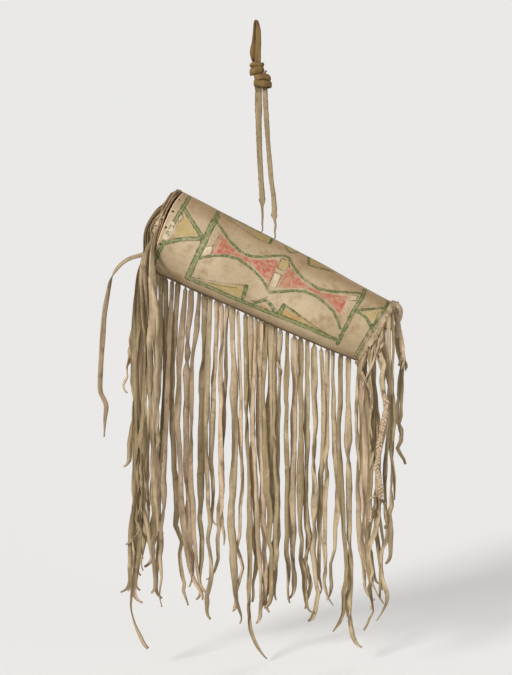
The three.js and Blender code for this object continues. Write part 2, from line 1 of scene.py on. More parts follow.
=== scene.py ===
"""Parfleche case: a painted rawhide tube, hung by a knotted hide strap and heavily fringed.

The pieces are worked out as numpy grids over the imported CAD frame. Metres, +Z up, +Y away from the
painted face, the origin at the point that the loop hangs from.
"""

from __future__ import annotations

import logging
import math
from collections.abc import Sequence
from dataclasses import dataclass, field
from enum import Enum

import bpy
import numpy as np
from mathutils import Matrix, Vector

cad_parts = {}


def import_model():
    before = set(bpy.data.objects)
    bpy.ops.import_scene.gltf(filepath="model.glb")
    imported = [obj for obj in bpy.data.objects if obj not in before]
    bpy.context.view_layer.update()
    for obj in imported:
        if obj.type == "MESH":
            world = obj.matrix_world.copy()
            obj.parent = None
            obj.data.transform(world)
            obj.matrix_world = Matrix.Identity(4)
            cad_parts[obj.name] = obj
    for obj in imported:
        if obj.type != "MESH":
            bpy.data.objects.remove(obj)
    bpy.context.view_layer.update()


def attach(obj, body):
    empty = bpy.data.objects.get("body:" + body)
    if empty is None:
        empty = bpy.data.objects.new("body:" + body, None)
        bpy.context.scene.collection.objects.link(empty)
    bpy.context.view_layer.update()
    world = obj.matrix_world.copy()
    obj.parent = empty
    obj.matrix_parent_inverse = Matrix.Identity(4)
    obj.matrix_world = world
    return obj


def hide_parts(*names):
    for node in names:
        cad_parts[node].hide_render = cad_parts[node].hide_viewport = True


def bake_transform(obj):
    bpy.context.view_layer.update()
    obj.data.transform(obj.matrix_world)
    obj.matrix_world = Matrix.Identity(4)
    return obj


LOG = logging.getLogger("parfleche_case")
MM = 0.001
SAMPLES_PER_KEY = 60
PAINT_REACH = 20.0
FAR = 1e9
TINY = 1e-12
RIGHT, BACK, UP = np.eye(3)

Points = np.ndarray
Colour = tuple[float, float, float, float]
Line = Sequence[tuple[float, float]]
Triple = tuple[float, float, float]
Course = Sequence[Triple]
Faces = list[list[int]]
Draws = np.random.Generator
Socket = bpy.types.NodeSocket
Material = bpy.types.Material
Piece = bpy.types.Object


class Body(str, Enum):
    """Rigid bodies of the CAD frame."""

    CASE = "case"
    LID = "lid"


class Slot(str, Enum):
    """Material slots."""

    RAWHIDE = "rawhide"
    SOFT_HIDE = "soft_hide"
    THONG = "thong"
    BROWN_THONG = "brown_thong"


class Paint(str, Enum):
    """Paint layers of the tube, each kept as a distance in millimetres at every point of its skin."""

    BOLD = "paint_bold"
    MIDDLE = "paint_middle"
    FINE = "paint_fine"
    BROWN = "paint_brown"
    STROKE = "paint_stroke"
    RED = "paint_red"
    OCHRE = "paint_ochre"
    ORANGE = "paint_orange"
    PALE = "paint_pale"
    WORN = "paint_worn"


def srgb(red: float, green: float, blue: float) -> Colour:
    """Linear colour of a display colour given from 0 to 255: straight up to 0.04045, a power of 2.4 above."""
    share = np.array([red, green, blue]) / 255.0
    return (*np.where(share <= 0.04045, share / 12.92, ((share + 0.055) / 1.055) ** 2.4).tolist(), 1.0)


def smoothstep(value: Points, low: float, high: float) -> Points:
    """Smooth rise from 0 at low to 1 at high."""
    share = np.clip((value - low) / (high - low), 0.0, 1.0)
    return share * share * (3.0 - 2.0 * share)


def unit(vectors: Points) -> Points:
    """The vectors, each scaled to length 1."""
    return vectors / np.maximum(np.linalg.norm(vectors, axis=-1, keepdims=True), TINY)


def run_along(path: Points) -> Points:
    """Length along a path from its start to each of its points."""
    return np.concatenate([[0.0], np.cumsum(np.linalg.norm(np.diff(path, axis=0), axis=1))])


def smooth_path(keys: Points, count: int, crowd: float = 1.0) -> Points:
    """Points along a smooth line through the given ones.

    Formula: each stretch is a cubic over the square root of its chord. Its slope at a point weighs the
    straight slopes on both sides by each other's stretch, so that a short stretch beside a long one doesn't
    swing out. The samples are spaced by arc length, as the share of the count to the power crowd, so that a
    crowd over 1 puts more of them near the start.

    Args:
        keys: the points to pass through, (n, 3).
        count: how many samples.
        crowd: power of the spacing.

    Returns:
        The samples, (count, 3).
    """
    keys = np.asarray(keys, float)
    spans = np.sqrt(np.linalg.norm(np.diff(keys, axis=0), axis=1))[:, None]
    slopes = np.diff(keys, axis=0) / spans
    inner = (slopes[:-1] * spans[1:] + slopes[1:] * spans[:-1]) / (spans[:-1] + spans[1:])
    tangents = np.vstack([slopes[:1], inner, slopes[-1:]])
    knots = np.concatenate([[0.0], np.cumsum(spans)])
    place = np.linspace(0, knots[-1], SAMPLES_PER_KEY * len(keys))
    index = np.clip(np.searchsorted(knots, place, side="right") - 1, 0, len(keys) - 2)
    span = spans[index]
    t = (place - knots[index])[:, None] / span
    ends = keys[index] * (1 + 2 * t) * (1 - t) ** 2 + keys[index + 1] * t**2 * (3 - 2 * t)
    dense = ends + span * (tangents[index] * t * (1 - t) ** 2 - tangents[index + 1] * t**2 * (1 - t))
    run = run_along(dense)
    wanted = run[-1] * np.linspace(0, 1, count) ** crowd
    return np.stack([np.interp(wanted, run, dense[:, k]) for k in range(3)], axis=1)


def wander(rng: Draws, share: Points, waves: float, size: float) -> Points:
    """Smooth random wave along a strip.

    Formula: the sum of four sines whose wave counts spread from a third of waves to waves, with random
    phases and heights, scaled to the given size.

    Args:
        rng: seeded source of the phases.
        share: place along the strip, from 0 to 1.
        waves: the most waves along the strip.
        size: about the greatest height of the sum.

    Returns:
        The wave at each place.
    """
    counts = waves * np.array([0.33, 0.55, 0.8, 1.0]) * rng.uniform(0.8, 1.2, 4)
    phases = rng.uniform(0, 2 * math.pi, 4)
    heights = rng.uniform(0.5, 1.0, 4) * np.array([1.0, 0.8, 0.5, 0.35])
    waves_at = np.sin(2 * math.pi * counts[:, None] * share[None, :] + phases[:, None])
    return size * (heights[:, None] * waves_at).sum(axis=0) / 1.6


def ragged_edges(
    rng: Draws, share: Points, left: tuple[float, float], right: tuple[float, float]
) -> tuple[Points, Points]:
    """How far the two edges of a strip reach, each 1 plus a wave of the given wave count and size."""
    return 1 + wander(rng, share, *left), 1 + wander(rng, share, *right)


def grid_faces(rows: int, columns: int, wrap: bool = False) -> Points:
    """Quads of a grid of points.

    Args:
        rows: rows of points.
        columns: columns of points.
        wrap: whether it closes round its columns.

    Returns:
        Corner numbers, (n, 4).
    """
    last = columns if wrap else columns - 1
    i, j = np.meshgrid(np.arange(rows - 1), np.arange(last), indexing="ij")
    following = (j + 1) % columns
    quads = [i * columns + j, i * columns + following, (i + 1) * columns + following, (i + 1) * columns + j]
    return np.stack(quads, axis=-1).reshape(-1, 4)


def facing_out(points: Points, faces: Faces) -> Faces:
    """Faces of a closed shape, turned so that they enclose a positive volume.

    Formula: the volume is a sixth of the sum over fan triangles of the triple product of their corners.

    Args:
        points: the corners, (n, 3).
        faces: corner numbers of each face.

    Returns:
        The faces, turned round if the volume came out negative.
    """
    centred = points - points.mean(axis=0)
    first = np.array([face[:3] for face in faces])
    second = np.array([[face[0], face[2], face[3]] for face in faces if len(face) == 4])
    fans = np.vstack([first, second]) if len(second) else first
    a, b, c = (centred[fans[:, k]] for k in range(3))
    volume = np.einsum("ij,ij->i", a, np.cross(b, c)).sum()
    return [face[::-1] for face in faces] if volume < 0 else faces


def new_piece(
    name: str,
    points: Points,
    faces: Faces,
    material: Material,
    attributes: dict[str, Points] | None = None,
) -> Piece:
    """Smooth-shaded mesh object at the origin.

    Args:
        name: the piece's name.
        points: its corners, (n, 3).
        faces: corner numbers of each face.
        material: its finish.
        attributes: values kept at each corner, by name.

    Returns:
        The object, linked to the scene.
    """
    mesh = bpy.data.meshes.new(name)
    mesh.from_pydata(points.tolist(), [], faces)
    mesh.polygons.foreach_set("use_smooth", np.ones(len(mesh.polygons), bool))
    for key, values in (attributes or {}).items():
        layer = mesh.attributes.new(key, "FLOAT", "POINT")
        layer.data.foreach_set("value", np.ascontiguousarray(values, np.float32))
    mesh.materials.append(material)
    mesh.update()
    piece = bpy.data.objects.new(name, mesh)
    bpy.context.scene.collection.objects.link(piece)
    return piece


def dress(piece: Piece, node: str, body: Body = Body.CASE) -> Piece:
    """Lets a piece ride on a body and stand for its CAD node.

    Args:
        piece: the piece.
        node: the CAD node.
        body: the body.

    Returns:
        The piece.
    """
    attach(piece, body.value)
    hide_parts(node)
    return piece


class Shader:
    """Principled material that grows node by node."""

    def __init__(self, name: str) -> None:
        """Starts a material with one Principled shader.

        Args:
            name: the material's name.
        """
        self.material = bpy.data.materials.new(name)
        self.material.use_nodes = True
        self.tree = self.material.node_tree
        self.tree.nodes.clear()
        self.surface = self.tree.nodes.new("ShaderNodeBsdfPrincipled")
        self.output = self.tree.nodes.new("ShaderNodeOutputMaterial")
        self.feed(self.output.inputs["Surface"], self.surface.outputs["BSDF"])

    def feed(self, socket: Socket, value: object) -> None:
        """Links a socket to another node's output, or sets its own value.

        Args:
            socket: the socket.
            value: an output or a value.
        """
        if isinstance(value, Socket):
            self.tree.links.new(value, socket)
        else:
            socket.default_value = value

    def node(self, kind: str, inputs: dict[str | int, object], **settings: object) -> bpy.types.Node:
        """Adds a node.

        Args:
            kind: the node's type.
            inputs: outputs of other nodes, or values, for its sockets.
            settings: its own settings.

        Returns:
            The node.
        """
        node = self.tree.nodes.new(f"ShaderNode{kind}")
        for key, value in settings.items():
            setattr(node, key, value)
        for socket, value in inputs.items():
            self.feed(node.inputs[socket], value)
        return node

    def wire(self, inputs: dict[str, object]) -> None:
        """Feeds sockets of the Principled shader."""
        for socket, value in inputs.items():
            self.feed(self.surface.inputs[socket], value)

    def object_point(self) -> Socket:
        """Object coordinates."""
        return self.node("TexCoord", {}).outputs["Object"]

    def attribute(self, name: str) -> Socket:
        """Value of a mesh attribute."""
        return self.node("Attribute", {}, attribute_name=name).outputs["Fac"]

    def part(self, vector: object, axis: str) -> Socket:
        """One part of a vector, X, Y or Z."""
        return self.node("SeparateXYZ", {"Vector": vector}).outputs[axis]

    def combine(self, x: object, y: object, z: object) -> Socket:
        """Vector of three values."""
        return self.node("CombineXYZ", {"X": x, "Y": y, "Z": z}).outputs["Vector"]

    def noise(self, vector: object, scale: float, detail: float = 4.0, rough: float = 0.55) -> Socket:
        """Noise from 0 to 1 at a place."""
        inputs = {"Vector": vector, "Scale": scale, "Detail": detail, "Roughness": rough}
        return self.node("TexNoise", inputs).outputs["Fac"]

    def calc(self, kind: str, a: object, b: object) -> Socket:
        """One step of arithmetic."""
        return self.node("Math", {0: a, 1: b}, operation=kind).outputs["Value"]

    def times(self, a: object, b: object) -> Socket:
        """Product of two values."""
        return self.calc("MULTIPLY", a, b)

    def plus(self, a: object, b: object) -> Socket:
        """Sum of two values."""
        return self.calc("ADD", a, b)

    def ramp(self, value: object, low: float, high: float, start: float = 0.0, end: float = 1.0) -> Socket:
        """Smooth change from start at low to end at high."""
        inputs = {"Value": value, "From Min": low, "From Max": high, "To Min": start, "To Max": end}
        return self.node("MapRange", inputs, interpolation_type="SMOOTHSTEP").outputs["Result"]

    def mix(self, share: object, a: object, b: object) -> Socket:
        """Colour a where share is 0 and b where it is 1."""
        return self.node("Mix", {"Factor": share, 6: a, 7: b}, data_type="RGBA").outputs[2]

    def finish(self, colour: object, height: object, depth: float, rough: object, specular: float) -> Material:
        """Wires colour, bump and gloss into the shader.

        Args:
            colour: base colour.
            height: bump height from 0 to 1.
            depth: what a height of 1 stands for, in metres.
            rough: roughness.
            specular: specular level.

        Returns:
            The material.
        """
        bump = self.node("Bump", {"Height": height, "Distance": depth}).outputs["Normal"]
        self.wire({"Base Color": colour, "Roughness": rough, "Specular IOR Level": specular, "Normal": bump})
        return self.material


@dataclass(frozen=True)
class RawhideFinish:
    """Dry mottled rawhide with paint layers where the piece has them; on the tube, painted shade below and a painted
    rim highlight.
    """

    name: str
    painted: bool = False
    base: Colour = srgb(178, 157, 123)
    light: Colour = srgb(199, 177, 145)
    stain: Colour = srgb(150, 122, 82)
    deep: Colour = srgb(100, 76, 46)
    top: Colour = srgb(166, 130, 88)
    # painted shade: the underside of the tube darker
    under: Colour = srgb(150, 128, 90)
    # painted shadow: a dark line along the bottom seam, under the lap
    seam: Colour = srgb(92, 70, 42)
    shade: Colour = srgb(154, 132, 98)
    green: Colour = srgb(76, 103, 50)
    green_edge: Colour = srgb(42, 54, 20)
    green_pale: Colour = srgb(126, 139, 86)
    brown: Colour = srgb(88, 70, 42)
    red: Colour = srgb(179, 79, 65)
    ochre: Colour = srgb(178, 154, 82)
    orange: Colour = srgb(190, 134, 80)
    pale: Colour = srgb(218, 200, 170)
    # pale raw edge of the hide at both rims, brightened further as a painted highlight
    raw_edge_and_highlight: Colour = srgb(216, 188, 158)

    def material(self) -> Material:
        """Builds the material.

        Returns:
            The material.
        """
        shader = Shader(self.name)
        point = shader.object_point()
        broad = shader.noise(point, 13.0, 4.0, 0.6)
        cloud = shader.noise(point, 46.0, 6.0, 0.65)
        fine = shader.noise(point, 320.0, 4.0, 0.6)
        colour = shader.mix(shader.ramp(broad, 0.36, 0.64), self.base, self.light)
        colour = shader.mix(shader.ramp(cloud, 0.46, 0.72, 0.0, 0.7), colour, self.stain)
        if self.painted:
            up = shader.attribute("skin_up")
            left = shader.ramp(shader.part(point, "X"), -0.16, -0.04, 0.3, 0.0)
            colour = shader.mix(left, colour, self.shade)
            colour = shader.mix(shader.ramp(up, 0.45, 0.95, 0.0, 0.62), colour, self.top)
            # painted shade: darker towards the underside of the tube
            colour = shader.mix(shader.ramp(up, -0.97, -0.72, 0.5, 0.0), colour, self.under)
            # painted shadow: a dark line along the bottom seam, under the lap
            colour = shader.mix(shader.ramp(up, -0.97, -0.93, 0.85, 0.0), colour, self.seam)
        colour = shader.mix(shader.ramp(fine, 0.56, 0.76, 0.0, 0.45), colour, self.deep)
        height = shader.plus(shader.times(cloud, 0.6), shader.times(fine, 0.4))
        if self.painted:
            colour = self.paint(shader, point, colour, broad)
            # pale raw edge at the rims, partly the hide's own colour, partly a painted highlight
            rim = shader.ramp(shader.attribute("skin_edge"), 0.6, 2.0, 0.8, 0.0)
            colour = shader.mix(rim, colour, self.raw_edge_and_highlight)
        rough = shader.ramp(cloud, 0.3, 0.7, 0.5, 0.72)
        return shader.finish(colour, height, 0.0015, rough, 0.35)

    def paint(self, shader: Shader, point: Socket, colour: Socket, broad: Socket) -> Socket:
        """Lays the worn paint over the hide.

        Formula: a layer covers where its distance, unsettled by noise, is under its half width, and its cover
        is thinned by a coarser noise, so that hide shows through.

        Args:
            shader: the material.
            point: its coordinates.
            colour: the hide's colour.
            broad: broad noise of the hide.

        Returns:
            The painted colour.
        """
        wobble = shader.noise(point, 130.0, 4.0, 0.6)
        wear = shader.noise(point, 170.0, 5.0, 0.7)
        shake = shader.times(shader.calc("SUBTRACT", wobble, 0.5), 4.2)
        blotched = shader.ramp(shader.noise(point, 75.0, 3.0, 0.6), 0.42, 0.62, 1.0, 0.66)
        fields = (
            (Paint.OCHRE, self.ochre, 0.82, 0.42),
            (Paint.ORANGE, self.orange, 0.7, 0.3),
            (Paint.RED, self.red, 0.97, 0.3),
            (Paint.PALE, self.pale, 0.85, 0.4),
        )
        for layer, tint, most, least in fields:
            reach = shader.plus(shader.attribute(layer.value), shake)
            cover = shader.ramp(reach, -1.4, 1.0, 1.0, 0.0)
            thin = shader.times(shader.ramp(wear, 0.4, 0.62, most, least), blotched)
            colour = shader.mix(shader.times(cover, thin), colour, tint)
        reach = shader.plus(shader.attribute(Paint.STROKE.value), shader.times(shake, 0.25))
        thin = shader.ramp(wear, 0.42, 0.62, 0.75, 0.2)
        cover = shader.times(shader.ramp(reach, 0.3, 1.0, 1.0, 0.0), thin)
        colour = shader.mix(cover, colour, self.red)
        lines = ((Paint.BOLD, 3.3, 0.85), (Paint.MIDDLE, 2.15, 0.7), (Paint.FINE, 0.95, 0.35))
        thin = shader.ramp(wear, 0.41, 0.68, 0.95, 0.28)
        for layer, half, unsteady in lines:
            reach = shader.plus(shader.attribute(layer.value), shader.times(shake, unsteady))
            cover = shader.ramp(reach, half - 0.45, half + 0.5, 1.0, 0.0)
            inner = shader.ramp(reach, 0.15 * half, 0.6 * half, 1.0, 0.0)
            middle = shader.times(inner, shader.ramp(broad, 0.36, 0.6))
            tint = shader.mix(middle, self.green, self.green_pale)
            tint = shader.mix(shader.ramp(reach, 0.45 * half, 0.9 * half, 0.0, 0.92), tint, self.green_edge)
            colour = shader.mix(shader.times(cover, thin), colour, tint)
        reach = shader.plus(shader.attribute(Paint.BROWN.value), shader.times(shake, 0.45))
        thin = shader.ramp(wear, 0.4, 0.65, 0.88, 0.4)
        cover = shader.times(shader.ramp(reach, 0.5, 1.4, 1.0, 0.0), thin)
        colour = shader.mix(cover, colour, self.brown)
        reach = shader.plus(shader.attribute(Paint.WORN.value), shake)
        kept = shader.ramp(wear, 0.44, 0.56, 0.1, 0.85)
        cover = shader.times(shader.ramp(reach, -2.0, 2.0, 1.0, 0.0), kept)
        return shader.mix(cover, colour, self.pale)


@dataclass(frozen=True)
class StripFinish:
    """Soft hide of strips and thongs: streaks run along them, painted shade darkens their edges and roots, each has
    its own tone.
    """

    name: str
    base: Colour
    pink: Colour
    grey: Colour
    dark_and_shade: Colour
    worn: Colour
    rough: float = 0.82

    def material(self) -> Material:
        """Builds the material.

        Returns:
            The material.
        """
        shader = Shader(self.name)
        along = shader.attribute("strip_along")
        across = shader.attribute("strip_across")
        tone = shader.attribute("strip_tone")
        edge = shader.attribute("strip_edge")
        lane = shader.times(tone, 40.0)
        streak_at = shader.combine(shader.times(along, 24.0), shader.times(across, 380.0), lane)
        patch_at = shader.combine(shader.times(along, 42.0), shader.times(across, 90.0), lane)
        streak = shader.noise(streak_at, 1.0, 4.0, 0.6)
        patch = shader.noise(patch_at, 1.0, 3.0)
        grain = shader.noise(shader.object_point(), 520.0, 3.0)
        blotch = shader.noise(shader.object_point(), 70.0, 4.0, 0.6)
        wrinkle_at = shader.combine(shader.times(along, 240.0), shader.times(across, 130.0), lane)
        wrinkle = shader.noise(wrinkle_at, 1.0, 4.0, 0.6)
        colour = shader.mix(shader.ramp(tone, 0.1, 0.45), self.grey, self.base)
        colour = shader.mix(shader.ramp(tone, 0.6, 0.95), colour, self.pink)
        colour = shader.mix(shader.ramp(patch, 0.46, 0.72, 0.0, 0.6), colour, self.grey)
        colour = shader.mix(shader.ramp(blotch, 0.52, 0.74, 0.0, 0.45), colour, self.dark_and_shade)
        colour = shader.mix(shader.ramp(patch, 0.26, 0.44, 0.6, 0.0), colour, self.worn)
        colour = shader.mix(shader.ramp(wrinkle, 0.56, 0.78, 0.0, 0.3), colour, self.dark_and_shade)
        colour = shader.mix(shader.ramp(streak, 0.52, 0.76, 0.0, 0.45), colour, self.dark_and_shade)
        # painted shade: the strips' edges darker, as if curling away from the light
        colour = shader.mix(shader.ramp(edge, 0.62, 1.0, 0.0, 0.46), colour, self.dark_and_shade)
        # painted shadow: the first length of each strip darker, as if shaded by the tube above it
        colour = shader.mix(shader.ramp(along, 0.004, 0.011, 0.6, 0.0), colour, self.dark_and_shade)
        fold = shader.plus(shader.times(streak, 0.5), shader.times(wrinkle, 0.35))
        height = shader.plus(fold, shader.times(grain, 0.15))
        return shader.finish(colour, height, 0.0024, self.rough, 0.25)


FRINGE_HIDE = StripFinish(
    "fringe_hide", base=srgb(186, 166, 133), pink=srgb(202, 177, 147), grey=srgb(154, 135, 101),
    dark_and_shade=srgb(84, 64, 40), worn=srgb(214, 194, 162),
)
STRAP_HIDE = StripFinish(
    "strap_hide", base=srgb(158, 139, 106), pink=srgb(178, 156, 127), grey=srgb(142, 122, 88),
    dark_and_shade=srgb(88, 67, 40), worn=srgb(192, 173, 141),
)
BROWN_HIDE = StripFinish(
    "brown_thong", base=srgb(130, 102, 60), pink=srgb(138, 104, 68), grey=srgb(112, 94, 52),
    dark_and_shade=srgb(58, 41, 20), worn=srgb(158, 132, 90), rough=0.7,
)
PAINTED_RAWHIDE = RawhideFinish("painted_rawhide", painted=True)
PLAIN_RAWHIDE = RawhideFinish("plain_rawhide")
# darker hide for the lid, partly its own stain, partly painted shade for the gaps between its strips
DARK_SHADED_RAWHIDE = RawhideFinish("dark_shaded_rawhide", base=srgb(136, 100, 66), light=srgb(158, 124, 86))


@dataclass(frozen=True)
class CaseFrame:
    """The tilted cone of the tube: along runs from its left rim, around from its top towards the front."""

    length: float = 0.372
    radius_left: float = 0.068
    radius_right: float = 0.054
    rake_left: float = math.radians(4.7)
    rake_right: float = math.radians(4.5)
    tilt: float = math.radians(25.9)
    left_x: float = -0.140
    left_z: float = -0.3354
    belly: float = 0.0022

    @property
    def axis(self) -> Points:
        """Direction of the tube's axis, down to the right."""
        return np.array([math.cos(self.tilt), 0.0, -math.sin(self.tilt)])

    @property
    def rise(self) -> Points:
        """Direction square to the axis, up."""
        return np.array([math.sin(self.tilt), 0.0, math.cos(self.tilt)])

    def radius(self, along: Points) -> Points:
        """Outer radius: a straight taper, plus the belly times a half sine along the tube."""
        share = np.clip(np.asarray(along, float) / self.length, 0.0, 1.0)
        return self.radius_left + (self.radius_right - self.radius_left) * share + self.belly * np.sin(math.pi * share)

    def left_rim(self, around: Points) -> Points:
        """Place of the raked left rim along the axis."""
        return -np.cos(around) * self.radius_left * math.tan(self.rake_left)

    def right_rim(self, around: Points) -> Points:
        """Place of the raked right rim along the axis."""
        return self.length + np.cos(around) * self.radius_right * math.tan(self.rake_right)

    def place(self, along: Points, around: Points, depth: Points) -> Points:
        """Points of the case at a depth under its skin.

        Formula: the left rim's centre, plus along times the axis, plus the radius less depth round the axis.

        Args:
            along: place along the axis.
            around: angle from the top towards the front.
            depth: depth under the skin, negative outside.

        Returns:
            The points, with a last axis of 3.
        """
        along, around, depth = np.broadcast_arrays(
            np.asarray(along, float), np.asarray(around, float), np.asarray(depth, float)
        )
        reach = self.radius(along) - depth
        out = np.cos(around)[..., None] * self.rise - np.sin(around)[..., None] * BACK
        start = np.array([self.left_x, 0.0, self.left_z])
        return start + along[..., None] * self.axis + reach[..., None] * out


CASE = CaseFrame()


@dataclass(frozen=True)
class PhotoView:
    """The photograph's view of the case, for placing the camera and what is seen in it."""

    width: int = 512
    height: int = 675
    pixel: float = 0.0016
    target: Triple = (0.0, 0.0, -0.504)
    distance: float = 1.8
    azimuth: float = math.radians(5.5)

    def place(self, course: Course) -> Points:
        """Carries columns and rows of the view, with depths in millimetres, to points of the scene.

        Formula: a point's offset from the view's axis is its offset in the view times its distance from the
        camera over the target's distance. That distance depends on the point itself, so it is found in steps.

        Args:
            course: column, row and depth (Y) of each point.

        Returns:
            The points, (n, 3).
        """
        column, row, depth = np.asarray(course, float).T
        y = depth * MM
        right = (column - self.width / 2) * self.pixel
        up = (self.height / 2 - row) * self.pixel
        x = right
        for _ in range(4):
            away = (self.distance - x * math.sin(self.azimuth) + y * math.cos(self.azimuth)) / self.distance
            x = (right * away - y * math.sin(self.azimuth)) / math.cos(self.azimuth)
        return np.stack([x, y, self.target[2] + up * away], axis=1)


VIEW = PhotoView()


@dataclass(frozen=True)
class DiscFrame:
    """Plane of a disc: its origin, turned by angle about Y, with local X out of the tube's left end."""

    origin: Triple
    angle: float

    def place(self, x: Points, y: Points, z: Points) -> Points:
        """Points of the scene.

        Formula: the local point, turned about Y by the angle, plus the origin.

        Args:
            x: local X.
            y: local Y.
            z: local Z.

        Returns:
            The points, with a last axis of 3.
        """
        x, y, z = np.broadcast_arrays(np.asarray(x, float), np.asarray(y, float), np.asarray(z, float))
        cos, sin = math.cos(self.angle), math.sin(self.angle)
        turned = np.stack([x * cos + z * sin, y, z * cos - x * sin], axis=-1)
        return np.array(self.origin) + turned


LID_AJAR = math.radians(2.6)
HINGE = CASE.place(CASE.left_rim(math.pi), math.pi, 0.0)
LID_FRAME = DiscFrame(tuple(HINGE), CASE.tilt - CASE.rake_left - LID_AJAR)
END_FRAME = DiscFrame(tuple(CASE.place(CASE.length, 0.0, CASE.radius_right)), CASE.tilt + CASE.rake_right)


@dataclass
class PaintedPattern:
    """The painted panel, as lines and fields in millimetres: along the axis and up from it, as seen square on.

    Both halves of the tube carry it, mirrored about the line along its top.
    """

    axis_shift: float = 3.4
    height_shift: float = 4.0
    height_gain: float = 1.4
    view_left: float = math.radians(11.5)
    bold: tuple[Line, ...] = (
        [(7, 69), (6, 56), (4, 43), (2, 21), (1, -11), (1, -24), (1, -43), (2, -61)],
        [(8, 47), (29, 34), (52, 21)],
        [(4, -13), (12, -7), (21, 0), (35, 8), (52, 16)],
        [(60.5, 68), (58.4, 43), (58.4, 16), (58.4, -11), (59.4, -49)],
        [(63, 60), (61.6, 43), (61.8, 16), (61.8, -11), (62.4, -46)],
        [(325, 56), (327, 43), (324, 16), (324, -16), (324, -39)],
        [(60, -49), (112, -47), (165, -45), (219, -41), (272, -37), (323, -35)],
        [(62, -47), (112, -45), (165, -43), (219, -39), (272, -35), (321, -34)],
        [(153, -20), (156, -38)],
        [(220, -39), (220, -22)],
    )
    middle: tuple[Line, ...] = (
        [(63, 51), (77, 44), (96, 33), (112, 27), (125, 24), (139, 25), (155, 31), (171, 41), (184, 48)],
        [(184, 48), (195, 49), (205, 41), (219, 33), (235, 28), (256, 25), (272, 28), (288, 33), (321, 47)],
        [(65, -12), (80, -1), (101, 9), (123, 13), (144, 9), (165, 3), (179, -4), (190, -13)],
        [(190, -13), (205, -5), (221, 4), (240, 12), (261, 13), (280, 9), (296, 3), (309, -7), (317, -16)],
        [(220, -21), (236, -23), (250, -26)],
        [(174, -40), (182, -33), (189, -28)],
        [(157, 57), (157, 67)],
        [(223, 63), (228, 52), (241, 54), (268, 59.5)],
        [(181, 64), (186, 60), (191, 57), (198, 59), (205, 64)],
        [(150, 67), (110, 67), (70, 68)],
        [(327, 19), (368, 44)],
        [(328, 19), (347, 16), (357, 9), (365, 1)],
        [(367, 56), (367, 43), (365, 26), (362, 10)],
    )
    fine: tuple[Line, ...] = (
        [(188, -25), (198, -28), (207, -34), (213, -39), (217, -31), (220, -19)],
        [(190, -28), (200, -31), (209, -37)],
        [(192, -25), (201, -27), (210, -33)],
        [(82, -43), (112, -37), (142, -28)],
        [(361, 16), (358, -3), (356, -50)],
        [(365, 18), (361.5, -3), (359.5, -50)],
        [(369, 20), (366, -3), (364, -50)],
        [(67, 65), (101, 60), (139, 55), (157, 56), (157, 66)],
    )
    brown: tuple[Line, ...] = (
        [(184, 43), (197, 45), (201, 36), (196, 27), (185, 26), (184, 43)],
        [(199, 19), (183, 19), (185, -4)],
        [(196, 19), (197, -3)],
        [(8, 40), (13, 33), (9, 24), (4, 31), (8, 40)],
        [(361, 32), (361, 16)],
        [(67, -44), (110, -33), (155, -18)],
        [(219, -19), (267, -28), (320, -35)],
        [(66, 9), (77, 15), (78, 2)],
        [(79, 35), (77, 26), (76, 14), (79, 2)],
        [(309, 39), (321, 41), (320, 33), (310, 28)],
        [(311, 29.5), (318, 32.5)],
        [(170, -38), (181, -31), (192, -19)],
        [(170, -37), (177, -34)],
    )
    stroke: tuple[Line, ...] = (
        [(79, 33), (71, 39)], [(79, 28), (68, 31)], [(78, 22), (66, 21)], [(79, 17), (69, 14)],
        [(80, 1), (73, -5)], [(306, 31), (318, 38)], [(307, 24), (318, 26)], [(307, 17), (318, 16)],
        [(306, 9), (317, 5)], [(304, 5), (312, -4)],
    )
    red: tuple[Line, ...] = (
        [(79, 36), (91, 32), (101, 26), (125, 21), (139, 21), (152, 25), (165, 32), (179, 37), (183, 36),
         (183, 1), (173, 4), (157, 9), (144, 13), (125, 16), (112, 15), (96, 9), (83, 3), (79, 1)],
        [(199, 41), (208, 33), (221, 28), (235, 23), (251, 21), (267, 22), (283, 26), (299, 32), (307, 34),
         (307, 4), (296, 7), (283, 12), (267, 16), (251, 17), (235, 15), (221, 9), (208, 3), (199, 0)],
    )
    ochre: tuple[Line, ...] = (
        [(12, 39), (47, 20), (12, 0)],
        [(336, 21), (363, 37), (360, 16)],
        [(185, 41), (197, 44), (200, 36), (195, 28), (186, 27)],
        [(84, -43), (151, -22), (155, -40)],
        [(222, -21), (262, -27), (312, -33), (300, -37), (221, -38)],
        [(112, 65), (136, 57), (156, 57), (156, 66)],
        [(225, 62), (229, 55), (241, 57), (268, 62), (268, 65)],
        [(184, 65), (191, 59), (203, 65)],
    )
    orange: tuple[Line, ...] = (
        [(184, -41), (192, -32), (203, -41)],
        [(228, -26), (250, -30), (250, -36), (228, -37)],
    )
    pale: tuple[Line, ...] = (
        [(65, 9), (76, 15), (77, 2), (66, -7)],
        [(82, 27), (84, 27), (84, 6), (82, 5)],
        [(310, 38), (320, 40), (319, 29), (311, 27)],
        [(184, 18), (195, 18), (196, -3), (185, -3)],
    )
    worn: tuple[Line, ...] = ([(-4, 22), (4, 24), (7, 6), (4, -9), (-4, -10)],)

    def on_skin(self, seen: Line) -> Points:
        """Carries points of the flat view onto the round skin.

        Formula: the height over the radius is the sine of the angle up from the front. The view comes in
        askew at the left end, so a point moves along the axis by the radius times the cosine of that angle
        times the tangent of the view's angle there.

        Args:
            seen: points as seen, in millimetres.

        Returns:
            Places along the axis and round the skin from the front, in millimetres.
        """
        line = np.asarray(seen, float)
        dense = np.linspace(0, len(line) - 1, 12 * (len(line) - 1) + 1)
        index = np.arange(len(line))
        along = np.interp(dense, index, line[:, 0]) - self.axis_shift
        share = np.clip(along / (CASE.length / MM), 0.0, 1.0)
        height = np.interp(dense, index, line[:, 1]) - self.height_shift + self.height_gain * share
        radius = CASE.radius(along * MM) / MM
        up = np.arcsin(np.clip(height / radius, -1.0, 1.0))
        along = along + radius * np.cos(up) * np.tan(self.view_left * (1.0 - share))
        return np.stack([along, radius * up], axis=1)

